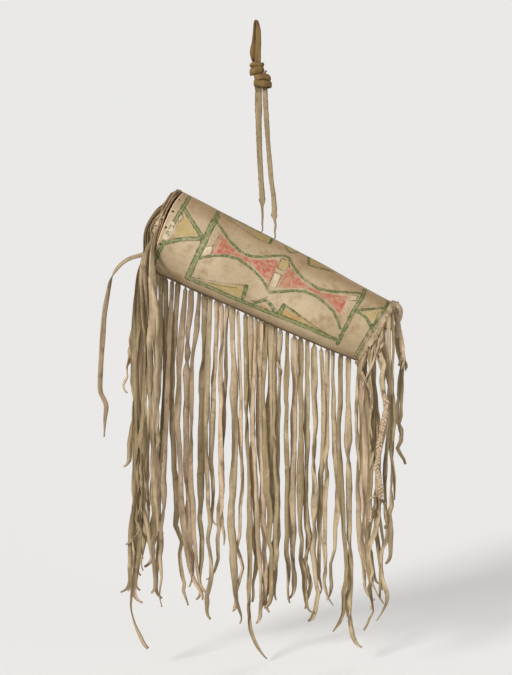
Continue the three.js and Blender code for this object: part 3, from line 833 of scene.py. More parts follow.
    @staticmethod
    def away_from_lines(where: Points, lines: list[Points]) -> Points:
        """Distance of each place to the nearest of the lines.

        Formula: on each piece of a line the nearest point is the foot of the perpendicular, kept on the piece.

        Args:
            where: places, (n, 2).
            lines: lines, each (k, 2).

        Returns:
            Distances, (n,).
        """
        starts = np.vstack([line[:-1] for line in lines])
        steps = np.vstack([np.diff(line, axis=0) for line in lines])
        best = np.full(len(where), FAR)
        for start, step in zip(starts, steps):
            away = where - start
            foot = np.clip(away @ step / max(step @ step, TINY), 0.0, 1.0)
            best = np.minimum(best, np.linalg.norm(away - foot[:, None] * step, axis=1))
        return best

    def away_from_fields(self, where: Points, outlines: list[Points]) -> Points:
        """Signed distance to the nearest field's outline, negative inside.

        Formula: a place is inside where a line from it along the axis crosses the outline an odd number of
        times.

        Args:
            where: places, (n, 2).
            outlines: closed outlines, each (k, 2).

        Returns:
            Distances, (n,).
        """
        best = np.full(len(where), FAR)
        for outline in outlines:
            away = self.away_from_lines(where, [outline])
            a, b = outline[:-1], outline[1:]
            spans = (a[None, :, 1] > where[:, None, 1]) != (b[None, :, 1] > where[:, None, 1])
            slope = (b[:, 0] - a[:, 0]) / np.where(b[:, 1] == a[:, 1], TINY, b[:, 1] - a[:, 1])
            cross = a[None, :, 0] + (where[:, None, 1] - a[None, :, 1]) * slope[None, :]
            inside = (spans & (where[:, None, 0] < cross)).sum(axis=1) % 2 == 1
            best = np.minimum(best, np.where(inside, -away, away))
        return best

    def layers(self, along: Points, around: Points) -> dict[str, Points]:
        """Distances of every paint layer at places of the skin.

        Args:
            along: places along the axis, in metres.
            around: angles from the top towards the front.

        Returns:
            Distances in millimetres by layer, clipped to the paint's reach.
        """
        up = np.arcsin(np.clip(np.cos(around), -1.0, 1.0))
        where = np.stack([along / MM, CASE.radius(along) / MM * up], axis=-1).reshape(-1, 2)
        found: dict[str, Points] = {}
        strokes = {
            Paint.BOLD: self.bold, Paint.MIDDLE: self.middle, Paint.FINE: self.fine, Paint.BROWN: self.brown,
            Paint.STROKE: self.stroke,
        }
        for layer, lines in strokes.items():
            found[layer.value] = self.away_from_lines(where, [self.on_skin(line) for line in lines])
        fields = {
            Paint.RED: self.red, Paint.OCHRE: self.ochre, Paint.ORANGE: self.orange, Paint.PALE: self.pale,
            Paint.WORN: self.worn,
        }
        for layer, outlines in fields.items():
            closed = [self.on_skin([*outline, outline[0]]) for outline in outlines]
            found[layer.value] = self.away_from_fields(where, closed)
        return {key: np.clip(value, -PAINT_REACH, PAINT_REACH) for key, value in found.items()}


@dataclass
class RawhideTube:
    """The rolled and lapped sheet of rawhide, with its lace holes and strap holes."""

    wall: float = 0.0022
    lap_sunk: float = 0.0042
    tuck: float = 0.015
    cover: float = 0.0085
    flat: float = 0.0045
    rise: float = 0.026
    rows: int = 188
    columns: int = 228
    rim_reach: float = 0.02
    hole_radius: float = 0.0019
    lace_inset: float = 0.005
    lace_first: float = math.radians(-20)
    lace_step: float = math.radians(24)
    lace_count: int = 10
    strap_holes: tuple[float, float] = (0.134, 0.157)
    pattern: PaintedPattern = field(default_factory=PaintedPattern)

    def lace_angles(self) -> Points:
        """Angles of the lace holes, from the top towards the front."""
        return math.pi / 2 - (self.lace_first + self.lace_step * np.arange(self.lace_count))

    def relief(self, along: Points, around: Points) -> Points:
        """Shallow dents of dried hide.

        Formula: a sum of slow waves along and round the tube, and waves round each rim that fade inwards.

        Args:
            along: place along the axis.
            around: angle from the top.

        Returns:
            Heights over the smooth skin.
        """
        share = along / CASE.length
        waves = 0.5 * np.sin(11.9 * share + 2 * around) + 0.45 * np.sin(3 * around - 9 * share)
        waves += 0.3 * np.sin(5 * around + 21 * share) + 0.2 * np.sin(31 * share - 4 * around)
        near_rim = np.exp(-along / self.rim_reach) + np.exp(-(CASE.length - along) / self.rim_reach)
        return MM * (0.55 * waves + 0.6 * near_rim * np.sin(7 * around + 1.3))

    def build(self) -> Piece:
        """Builds the tube.

        Formula: a grid of rows along the tube and columns round it, from the tucked lap at the bottom up the
        back, over the top and down the front to the covering lap. The tucked lap is sunk under the other by a
        smooth step. The inner skin is the outer one moved in by the wall, and strips of quads close the edges.
        At a hole the eight points round a grid point move onto a circle and the four cells in it are left out.

        Returns:
            The piece.
        """
        first = math.pi - self.tuck / CASE.radius_left
        last = 3 * math.pi + self.cover / CASE.radius_left
        around = np.tile(np.linspace(first, last, self.columns), (self.rows, 1))
        share = np.linspace(0, 1, self.rows)[:, None]
        along = CASE.left_rim(around) * (1 - share) + CASE.right_rim(around) * share
        holes = [(CASE.left_rim(a) + self.lace_inset, a % (2 * math.pi) + 2 * math.pi) for a in self.lace_angles()]
        holes = [(place, angle if angle < last else angle - 2 * math.pi) for place, angle in holes]
        holes += [(place, 2 * math.pi) for place in self.strap_holes]
        kept = np.ones((self.rows - 1, self.columns - 1), bool)
        rings: Faces = []
        ring_steps = [(-1, -1), (-1, 0), (-1, 1), (0, 1), (1, 1), (1, 0), (1, -1), (0, -1)]
        for place, angle in holes:
            j = int(np.argmin(np.abs(around[0] - angle)))
            i = int(np.argmin(np.abs(along[:, j] - place)))
            i = min(max(i, 2), self.rows - 3)
            kept[i - 1 : i + 1, j - 1 : j + 1] = False
            for di, dj in ring_steps:
                size = self.hole_radius / math.hypot(di, dj)
                along[i + di, j + dj] = place + size * di
                around[i + di, j + dj] = angle + size * dj / float(CASE.radius(place))
            rings.append([(i + di) * self.columns + j + dj for di, dj in ring_steps])
        rise_from = math.pi + (self.cover + self.flat) / CASE.radius_left
        rise_to = rise_from + self.rise / CASE.radius_left
        sunk = self.lap_sunk * (1 - smoothstep(around, rise_from, rise_to))
        depth = sunk - self.relief(along, around)
        outer = CASE.place(along, around, depth).reshape(-1, 3)
        inner = CASE.place(along, around, depth + self.wall).reshape(-1, 3)
        count = len(outer)
        quads = grid_faces(self.rows, self.columns)[kept.ravel()]
        faces = quads.tolist() + (quads[:, ::-1] + count).tolist()
        index = np.arange(count).reshape(self.rows, self.columns)
        border = np.concatenate([index[0, :-1], index[:-1, -1], index[-1, :0:-1], index[:0:-1, 0]])
        loops = [border.tolist()] + [ring[::-1] for ring in rings]
        for loop in loops:
            a, b = np.array(loop), np.roll(loop, -1)
            faces += np.stack([b, a, a + count, b + count], axis=1).tolist()
        points = np.vstack([outer, inner])
        layers = self.pattern.layers(along, around)
        bare = np.full(count, PAINT_REACH)
        attributes = {key: np.concatenate([value, bare]) for key, value in layers.items()}
        attributes["skin_up"] = np.tile(np.cos(around).ravel(), 2)
        from_rim = np.minimum(along - CASE.left_rim(around), CASE.right_rim(around) - along) / MM
        attributes["skin_edge"] = np.tile(from_rim.ravel(), 2)
        points, faces, attributes = without_loose(points, faces, attributes)
        tube = new_piece("painted_tube", points, facing_out(points, faces), PAINTED_RAWHIDE.material(), attributes)
        return dress(tube, "rawhide_tube")


def without_loose(
    points: Points, faces: Faces, attributes: dict[str, Points]
) -> tuple[Points, Faces, dict[str, Points]]:
    """Drops the points that none of the quads uses.

    Args:
        points: the corners, (n, 3).
        faces: corner numbers of each quad.
        attributes: values at each corner, by name.

    Returns:
        The corners, quads and values that are left.
    """
    corners = np.array(faces)
    used = np.zeros(len(points), bool)
    used[corners] = True
    number = np.cumsum(used) - 1
    return points[used], number[corners].tolist(), {key: value[used] for key, value in attributes.items()}


@dataclass
class RawhideDisc:
    """Domed rawhide disc that closes an end of the tube."""

    name: str
    node: str
    body: Body
    frame: DiscFrame
    side: float
    radius: float
    dome: float
    centre: float
    curl: float = 0.0
    finish: RawhideFinish = PLAIN_RAWHIDE
    wall: float = 0.0022
    gap: float = 0.0003
    rings: int = 36
    segments: int = 144

    def skin(self, y: Points, z: Points, lift: Points) -> Points:
        """Points over the outer face, lifted off it.

        Formula: the dome's height falls with the square of the distance from the disc's centre. The edge
        curls in towards the tube, more the further it is from the bottom.

        Args:
            y: local Y.
            z: local Z.
            lift: how far off the face.

        Returns:
            The points.
        """
        away = np.hypot(y, z - self.centre) / self.radius
        height = self.dome * (1 - np.minimum(away, 1.0) ** 2) + self.wall + self.gap
        height = height - self.curl * smoothstep(away, 0.7, 1.0) * np.clip(z / (2 * self.radius), 0.0, 1.0)
        return self.frame.place(self.side * (height + lift), y, z)

    def build(self) -> Piece:
        """Builds the disc.

        Formula: rings round the centre with a slightly waved edge, once for each face, and quads between their edges.

        Returns:
            The piece.
        """
        reach = np.linspace(0, 1, self.rings + 1)[1:, None] ** 0.9
        turn = np.linspace(0, 2 * math.pi, self.segments, endpoint=False)[None, :]
        edge = self.radius * (1 + 0.006 * np.sin(5 * turn + 0.7) + 0.004 * np.sin(11 * turn))
        y, z = reach * edge * np.sin(turn), self.centre + reach * edge * np.cos(turn)
        dent = MM * (0.7 * np.sin(3 * turn + 4 * reach) + 0.5 * np.sin(7 * turn - 3 * reach)) * reach
        outer = self.skin(y, z, dent).reshape(-1, 3)
        inner = self.skin(y, z, dent - self.wall).reshape(-1, 3)
        middle = np.array([self.skin(np.array(0.0), np.array(self.centre), np.array(d)) for d in (0.0, -self.wall)])
        count = len(outer)
        quads = grid_faces(self.rings, self.segments, True)
        faces = quads.tolist() + (quads[:, ::-1] + count).tolist()
        k = np.arange(self.segments)
        after = np.roll(k, -1)
        rim = (self.rings - 1) * self.segments
        hub = np.full(self.segments, 2 * count)
        faces += np.stack([rim + k, rim + after, rim + after + count, rim + k + count], axis=1).tolist()
        faces += np.stack([hub, after, k], axis=1).tolist()
        faces += np.stack([hub + 1, k + count, after + count], axis=1).tolist()
        points = np.vstack([outer, inner, middle])
        disc = new_piece(self.name, points, facing_out(points, faces), self.finish.material())
        return dress(disc, self.node, self.body)


LID = RawhideDisc(
    "lid_disc", "lid", Body.LID, LID_FRAME,
    side=-1.0, radius=0.0685, dome=0.006, centre=0.0688, curl=0.0034, finish=DARK_SHADED_RAWHIDE,
)
END_DISC = RawhideDisc(
    "laced_end_disc", "end_disc", Body.CASE, END_FRAME, side=1.0, radius=0.0555, dome=0.007, centre=0.0
)


class Section(Enum):
    """Cross sections: shares of the half width, and of the half thickness, round the section."""

    FLAT = (
        (-1, -0.9, -0.45, 0, 0.45, 0.9, 1, 0.9, 0.45, 0, -0.45, -0.9),
        (0, 1, 1, 1, 1, 1, 0, -1, -1, -1, -1, -1),
    )
    SOFT = (
        (-1, -0.92, -0.7, -0.35, 0, 0.35, 0.7, 0.92, 1, 0.92, 0.7, 0.35, 0, -0.35, -0.7, -0.92),
        (0, 0.6, 0.9, 1, 1, 1, 0.9, 0.6, 0, -0.6, -0.9, -1, -1, -1, -0.9, -0.6),
    )
    ROUND = (
        tuple(-math.cos(math.pi * k / 6) for k in range(12)),
        tuple(math.sin(math.pi * k / 6) for k in range(12)),
    )


@dataclass
class Ribbons:
    """Strips and thongs gathered into one mesh, each a closed section carried along a path, and their area.

    The finish paints shade over the first length of a strip, as if shaded from above, so pieces without that painted
    shade begin further on.
    """

    begins: float = 0.0
    points: list[Points] = field(default_factory=list)
    faces: Faces = field(default_factory=list)
    values: dict[str, list[Points]] = field(default_factory=dict)
    count: int = 0
    area: float = 0.0

    def add(
        self,
        path: Points,
        across: Points,
        width: Points,
        thick: Points | float,
        tone: float,
        cup: Points | float = 0.0,
        section: Section = Section.FLAT,
        edges: tuple[Points, Points] | None = None,
    ) -> None:
        """Adds one strip.

        Formula: each point is the path's, plus its share of the half width along across, plus its share of the
        half thickness square to both, plus cup times the square of its share of the width.

        Args:
            path: centreline, (n, 3).
            across: direction of the width, (n, 3) or (3,).
            width: width at each point of the path.
            thick: thickness of the hide.
            tone: the strip's own tone, from 0 to 1.
            cup: how far the edges stand off the middle.
            section: the cross section.
            edges: how far each edge reaches at each point, as a share of the half width.
        """
        heading = unit(np.gradient(path, axis=0))
        across = np.broadcast_to(np.asarray(across, float), path.shape)
        across = unit(across - (across * heading).sum(axis=1, keepdims=True) * heading)
        face = np.cross(heading, across)
        share, stack = (np.array(part, float) for part in section.value)
        width = np.broadcast_to(np.asarray(width, float), len(path))
        cup = np.broadcast_to(np.asarray(cup, float), len(path))
        sideways = 0.5 * width[:, None] * share
        if edges:
            sideways = sideways * np.where(share < 0, edges[0][:, None], edges[1][:, None])
        thick = np.broadcast_to(np.asarray(thick, float), len(path))
        outward = 0.5 * thick[:, None] * stack + cup[:, None] * share**2
        solid = path[:, None, :] + sideways[..., None] * across[:, None, :] + outward[..., None] * face[:, None, :]
        rows, ring = len(path), len(share)
        base = self.count
        self.faces += (grid_faces(rows, ring, True) + base).tolist()
        self.faces.append([base + k for k in range(ring)][::-1])
        self.faces.append([base + (rows - 1) * ring + k for k in range(ring)])
        run = run_along(path)
        self.points.append(solid.reshape(-1, 3))
        self.count += rows * ring
        self.keep("strip_along", np.repeat(run + self.begins, ring))
        self.keep("strip_across", sideways.ravel())
        self.keep("strip_tone", np.full(rows * ring, tone))
        self.keep("strip_edge", np.tile(np.abs(share), rows))
        self.area += float((0.5 * (width[1:] + width[:-1]) * np.diff(run)).sum())

    def keep(self, name: str, values: Points) -> None:
        """Keeps values for the points just added."""
        self.values.setdefault(name, []).append(values)

    def build(self, name: str, finish: StripFinish) -> Piece:
        """Makes the piece.

        Args:
            name: the piece's name.
            finish: its hide.

        Returns:
            The piece.
        """
        points = np.vstack(self.points)
        attributes = {key: np.concatenate(parts) for key, parts in self.values.items()}
        return new_piece(name, points, facing_out(points, self.faces), finish.material(), attributes)


@dataclass(frozen=True)
class HangingCut:
    """How strips of a fringe are cut and how they hang."""

    width: float = 0.0097
    thick: float = 0.0014
    root: float = 0.3
    root_start: float = 0.0076
    root_end: float = 0.0142
    narrowing: float = 0.38
    waver: float = 0.24
    tip: float = 0.36
    ragged: float = 0.09
    plumb: Triple = (1.0, 0.0, 0.0)
    twist: float = 0.7
    twist_waves: float = 3.4
    flips: int = 3
    roll_thickens: float = 2.2
    roll_narrows: float = 0.3
    wave: float = 0.11
    drift: float = 0.0009
    kink: float = 0.0031
    kinks: int = 18
    curl: float = 1.2
    cup: float = 0.0038
    crowd: float = 1.25
    stations: int = 190

    def waves(self, run: Points) -> float:
        """How many waves of the usual length a strip has."""
        return float(run[-1] / self.wave)

    def kinked(self, rng: Draws, share: Points) -> Points:
        """Sharp bends of a strip.

        Formula: straight runs between random offsets at random places, which grow towards the tip.

        Args:
            rng: seeded source of the places and offsets.
            share: place along the strip, from 0 to 1.

        Returns:
            The offset at each place.
        """
        places = (np.arange(self.kinks) + rng.uniform(0.1, 0.9, self.kinks)) / self.kinks
        offsets = self.kink * rng.normal(0.0, 1.0, self.kinks) * (0.12 + 0.88 * smoothstep(places, 0.5, 1.0))
        return np.interp(share, np.concatenate([[0.0], places]), np.concatenate([[0.0], offsets]))

    @staticmethod
    def curled(path: Points, run: Points, turn: float, reach: float) -> Points:
        """Bends the last reach of a path sideways.

        Formula: each step of the path turns about Y by an angle that grows from 0 at the start of the reach to
        turn at the tip, as the power 1.5 of the share of the reach, and the steps are summed again.

        Args:
            path: the path, (n, 3).
            run: length along it at each point.
            turn: angle at the tip.
            reach: length that bends.

        Returns:
            The bent path.
        """
        bend = turn * np.clip((run - run[-1] + reach) / reach, 0.0, 1.0) ** 1.5
        x, y, z = np.diff(path, axis=0, prepend=path[:1]).T
        cos, sin = np.cos(bend), np.sin(bend)
        return path[0] + np.cumsum(np.stack([x * cos - z * sin, y, x * sin + z * cos], axis=1), axis=0)

    def strayed(self, path: Points, run: Points, rng: Draws) -> Points:
        """Makes a path wander and kink, and curls its tip.

        Formula: smooth waves and sharp bends grow from none at the root to their whole size at three tenths of
        the path.

        Args:
            path: the path, (n, 3).
            run: length along it at each point.
            rng: seeded source of its wandering.

        Returns:
            The new path.
        """
        share, waves = run / run[-1], self.waves(run)
        sideways = wander(rng, share, waves, self.drift)
        fore = wander(rng, share, 0.8 * waves, 1.3 * self.drift)
        sideways, fore = sideways + self.kinked(rng, share), fore + self.kinked(rng, share)
        loose = smoothstep(share, 0.03, 0.3)[:, None]
        path = path + loose * np.stack([sideways, fore, np.zeros_like(share)], axis=1)
        return self.curled(path, run, self.curl * rng.uniform(-1, 1), rng.uniform(0.012, 0.036))

    def cut_width(self, run: Points, scale: float, rng: Draws) -> Points:
        """Width along a strip.

        Formula: it grows from the root's share four fifths of the way to the whole just past the root, and the
        rest of the way slowly. It wavers, narrows in the lower half and falls away at the tip.

        Args:
            run: length along the strip at each point.
            scale: its width as a share of the usual one.
            rng: seeded source of its wavering.

        Returns:
            The width at each point.
        """
        share = run / run[-1]
        neck = min(self.root * rng.uniform(0.7, 1.7), 1.0)
        late = rng.uniform(-0.0025, 0.004)
        width = neck + (0.8 - 0.8 * neck) * smoothstep(run, self.root_start + late, self.root_end + late)
        width = self.width * scale * (width + (1 - np.max(width)) * smoothstep(run, 0.03, rng.uniform(0.09, 0.2)))
        narrow = rng.uniform(0.0, self.narrowing) * smoothstep(share, rng.uniform(0.5, 0.8), 1.0)
        width = width * (1 + wander(rng, share, 1.3 * self.waves(run), self.waver)) * (1.05 - narrow)
        return width * (self.tip + (1 - self.tip) * smoothstep(run[-1] - run, -0.002, rng.uniform(0.008, 0.036)))

    def turning(self, run: Points, rng: Draws) -> tuple[Points, Points]:
        """How the width turns about a strip.

        Formula: a slow wave, a lean that grows towards the tip, and half turns at random places. A half turn
        rolls the strip up by a bell curve about its middle.

        Args:
            run: length along the strip at each point.
            rng: seeded source of the turns.

        Returns:
            The angle at each point, and how far the strip is rolled up there, from 0 to 1.
        """
        share = run / run[-1]
        turn = smoothstep(share, 0.02, 0.2) * wander(rng, share, self.twist_waves, self.twist)
        turn = turn + smoothstep(share, 0.15, 1.0) * rng.uniform(-0.5, 0.5)
        turn = turn + smoothstep(share, 0.8, 1.0) * rng.uniform(-1.5, 1.5)
        rolled = np.zeros_like(run)
        count = int(rng.integers(0, self.flips + 1))
        for middle in run[-1] * rng.uniform(0.03, 0.92, count) ** 0.7:
            ease = rng.uniform(0.025, 0.065)
            turn = turn + rng.choice([-1.0, 1.0]) * math.pi * smoothstep(run, middle - ease, middle + ease)
            rolled = np.maximum(rolled, np.exp(-(((run - middle) / (0.45 * ease)) ** 2)))
        return turn, rolled

    def hang(self, ribbons: Ribbons, keys: Points, start: Points, rng: Draws, scale: float = 1.0) -> None:
        """Adds one strip that hangs through the given points.

        Formula: the width's direction goes from the root's to the plumb one and turns about the path. Where
        the strip rolls up it is thicker and narrower.

        Args:
            ribbons: where the strip goes.
            keys: points of its path, root first.
            start: direction of its width at the root.
            rng: seeded source of its wandering.
            scale: its width as a share of the usual one.
        """
        path = smooth_path(keys, self.stations, self.crowd)
        run = run_along(path)
        share, waves = run / run[-1], self.waves(run)
        path = self.strayed(path, run, rng)
        width = self.cut_width(run, scale, rng)
        turn, rolled = self.turning(run, rng)
        thick = self.thick * (1 + self.roll_thickens * rolled)
        width = width * (1 - self.roll_narrows * rolled)
        to_plumb = smoothstep(run, 0.002, 0.03)[:, None]
        flat = unit(start * (1 - to_plumb) + np.array(self.plumb) * to_plumb)
        side = np.cross(unit(np.gradient(path, axis=0)), flat)
        across = flat * np.cos(turn)[:, None] + side * np.sin(turn)[:, None]
        cup = wander(rng, share, waves, self.cup) * smoothstep(run, 0.004, 0.02)
        edges = ragged_edges(rng, share, (5.0 * waves, self.ragged), (5.0 * waves, self.ragged))
        ribbons.add(path, across, width, thick, float(rng.uniform(0, 1)), cup, Section.FLAT, edges)


SWAY_SHARES = (1 / 3, 2 / 3, 0.9, 1.0)


def swayed(hang: Points, sways: list[float], fall: float, back: float = 0.0) -> list[Points]:
    """Points under a strip's hanging point, aside at a third, two thirds, nine tenths and all of its fall."""
    return [hang + np.array([sway * MM, back, -share * fall * MM]) for sway, share in zip(sways, SWAY_SHARES)]


@dataclass
class SeamFringe:
    """Hide welt caught in the lapped seam and cut into long strips.

    Each strip: place along the tube, sideways sway at a third, two thirds, nine tenths and the tip, length.
    """

    cut: HangingCut = HangingCut()
    edge: float = 0.0111
    hold: float = 0.011
    depth: float = 0.0032
    welt_ends: tuple[float, float] = (0.0075, 0.351)
    welt_thick: float = 0.0012
    tucked: float = 0.0026
    lip: float = 0.0012
    knee: Triple = (0.0, 0.0022, -0.0012)
    clear: Triple = (0.0, 0.0012, -0.006)
    scales: tuple[float, float] = (0.7, 1.22)
    seed: int = 31
    layers: tuple[float, ...] = (0.0, 0.006, 0.0025, 0.0085)
    strips: tuple[tuple[float, ...], ...] = (
        (12, -4, -10, -14, -13, 478), (21, -3, -13, -17, -18, 524), (32, -8, -15, -19, -20, 531),
        (43, -12, -4, 1, 15, 523), (56, -12, -5, 5, 33, 505), (67, -9, -7, 0, 6, 482), (81, -12, -12, -1, 10, 490),
        (91, -5, -8, -8, -7, 494), (101, -6, -3, 0, -8, 519), (113, -4, -9, -11, -11, 363),
        (121, -1, -1, 3, 6, 391), (131, -6, -10, -18, -16, 449), (140, 4, 0, 8, 16, 509),
        (151, 4, 3, -1, -3, 486), (164, 2, 8, 6, 30, 556), (173, 1, 6, 7, 6, 461), (183, -4, 2, 9, 15, 493),
        (191, -3, 3, 5, 5, 472), (200, -3, 5, 8, 1, 459), (210, -3, 5, -3, -9, 460), (218, -3, 0, 1, 1, 397),
        (226, -5, -5, -11, -15, 436), (238, -2, 0, -1, -2, 434), (250, -1, -3, -1, 0, 429),
        (261, 1, 0, 5, 11, 444), (273, 0, -3, 0, 3, 429), (285, 0, 0, 0, -1, 447), (297, 4, -3, -3, -3, 407),
        (308, -2, -3, -5, -6, 413), (317, 2, 8, -5, -2, 400), (331, -2, 5, 3, -2, 445),
        (344, 1, 2, 5, 15, 467),
    )

    def build(self) -> Piece:
        """Builds welt and strips.

        Formula: a strip runs out of the lap over its lip, bends down at a knee and hangs, in layers behind each
        other.

        Returns:
            The piece.
        """
        rng = np.random.default_rng(self.seed)
        ribbons = Ribbons()
        self.welt(ribbons)
        angle = math.pi + self.edge / CASE.radius_left
        for row, (along, *sways, fall) in enumerate(self.strips):
            inside = CASE.place(along * MM, angle - self.tucked / CASE.radius_left, self.depth)
            lip = CASE.place(along * MM, angle + self.lip / CASE.radius_left, self.depth)
            knee = lip + np.array(self.knee)
            hang = knee + np.array(self.clear)
            drops = swayed(hang, sways, fall, self.layers[row % len(self.layers)])
            keys = np.array([inside, lip, knee, hang, *drops])
            self.cut.hang(ribbons, keys, CASE.axis, rng, float(rng.uniform(*self.scales)))
        fringe = dress(ribbons.build("seam_strips", FRINGE_HIDE), "seam_fringe")
        return fringe

    def welt(self, ribbons: Ribbons) -> None:
        """Adds the strip of hide held in the lap, as a ribbon along the seam.

        Args:
            ribbons: where it goes.
        """
        along = np.linspace(*self.welt_ends, 60)
        middle = math.pi + 0.5 * (self.edge - self.hold) / CASE.radius_left
        path = CASE.place(along, middle, self.depth)
        ribbons.add(path, BACK, self.edge + self.hold, self.welt_thick, 0.4)


@dataclass
class LidFringe:
    """Strips that start under the lid's upper edge, run down over its face and hang on past its hinge.

    Each strip: angle round the lid from its top (front negative), place across the lid at its bottom, how far
    it stands off the lid, sways as in the seam fringe, and length past the hinge. Each fold of the band: how
    far it is in from the lid's edge, how far it stands off, width and tone.
    """

    cut: HangingCut = HangingCut(root=0.8, twist=0.8, drift=0.0018, plumb=(0.6, 0.8, 0.0))
    top_inset: float = 0.002
    end_inset: float = 0.006
    bend: float = 0.03
    begins: float = 0.03
    scales: tuple[float, float] = (0.74, 1.12)
    seed: int = 7
    band_seed: int = 13
    band_from: float = math.radians(-108)
    band_turn: float = math.radians(206)
    band_thick: float = 0.0032
    folds: tuple[tuple[float, ...], ...] = ((0.0042, 0.0022, 0.0136, 0.9), (0.0078, 0.0062, 0.0118, 0.8))
    strips: tuple[tuple[float, ...], ...] = (
        (-98, -66, 2, 6, 8, 6, 5, 330), (-84, -63, 3, 4, 7, 9, 10, 450),
        (-72, -59, 5, 8, 11, 14, 16, 526), (-60, -53, 8, 2, 3, 6, 8, 470),
        (-49, -46, 11, -4, -2, -4, -6, 505), (-66, -56, 4, -2, -6, -9, -10, 396),
        (-43, -41, 6, -4, -6, -6, -8, 478), (-38, -38, 14, -2, -4, -12, 11, 592),
        (-28, -30, 10, -8, -3, -6, -9, 430),
        (-18, -21, 16, -6, -6, -8, -13, 506), (-8, -11, 11, -7, -8, -10, -8, 520),
        (3, 0, 14, -8, -9, -8, -10, 500), (13, 11, 10, -16, -27, -32, -34, 180),
        (24, 22, 12, -4, -4, -6, -8, 455), (36, 33, 8, -8, -10, -12, -12, 478),
        (48, 43, 10, -20, -24, -31, -38, 322), (62, 53, 6, -10, -14, -16, -18, 465),
    )

    def build(self) -> Piece:
        """Builds the strips, bent between the lid and the case round the hinge.

        Formula: a strip runs over the lid's face from its upper edge to its bottom, lifted most at about two
        thirds of the way, goes on down the lid's plane past the hinge, and then hangs.

        Returns:
            The piece.
        """
        rng = np.random.default_rng(self.seed)
        ribbons = Ribbons(begins=self.begins)
        self.band(ribbons)
        hinge = np.array(LID_FRAME.origin)
        bend = self.bend * np.array([math.sin(LID_FRAME.angle), 0.0, math.cos(LID_FRAME.angle)])
        reach = LID.radius - self.top_inset
        for angle, low, off, *sways, fall in self.strips:
            turn = math.radians(angle)
            low, off = low * MM, off * MM
            top_y, top_z = reach * math.sin(turn), LID.centre + reach * math.cos(turn)
            end_z = LID.centre - math.sqrt(max((LID.radius - self.end_inset) ** 2 - low**2, 0.0))
            lifts = ((0.0, 0.0008), (0.06, 0.0036), (0.3, 0.006 + 0.5 * off), (0.62, 0.005 + off), (1.0, 0.9 * off))
            over = [
                LID.skin(top_y + (low - top_y) * share, top_z + (end_z - top_z) * share, np.array(lift))
                for share, lift in lifts
            ]
            hang = over[-1] - bend
            keys = np.array([*over, hang, *swayed(hang, sways, fall)])
            start = LID_FRAME.place(0.0, math.cos(turn), -math.sin(turn)) - hinge
            self.cut.hang(ribbons, keys, start, rng, float(rng.uniform(*self.scales)))
        fringe = ribbons.build("lid_strips", FRINGE_HIDE)
        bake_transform(fringe)
        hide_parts("lid_fringe", "rim_fringe")
        return fringe

    def band(self, ribbons: Ribbons) -> None:
        """Adds the uncut edge of the hide that the strips hang from, folded twice along the lid's upper edge.

        Args:
            ribbons: where it goes.
        """
        rng = np.random.default_rng(self.band_seed)
        share = np.linspace(0, 1, 240)
        turn = self.band_from + self.band_turn * share
        out = LID_FRAME.place(0.0, np.sin(turn), np.cos(turn)) - np.array(LID_FRAME.origin)
        ends = 0.3 + 0.7 * np.sin(math.pi * share) ** 0.6
        for inset, stand, wide, tone in self.folds:
            reach = LID.radius - inset + wander(rng, share, 9.0, 0.0009)
            lift = stand + np.abs(wander(rng, share, 9.0, 0.0009))
            path = LID.skin(reach * np.sin(turn), LID.centre + reach * np.cos(turn), lift)
            width = wide * (1 + wander(rng, share, 8.0, 0.14)) * ends
            edges = ragged_edges(rng, share, (24.0, 0.12), (16.0, 0.06))
            cup = wander(rng, share, 10.0, 0.0006)
            ribbons.add(path, out, width, self.band_thick * ends, tone, cup, Section.SOFT, edges)


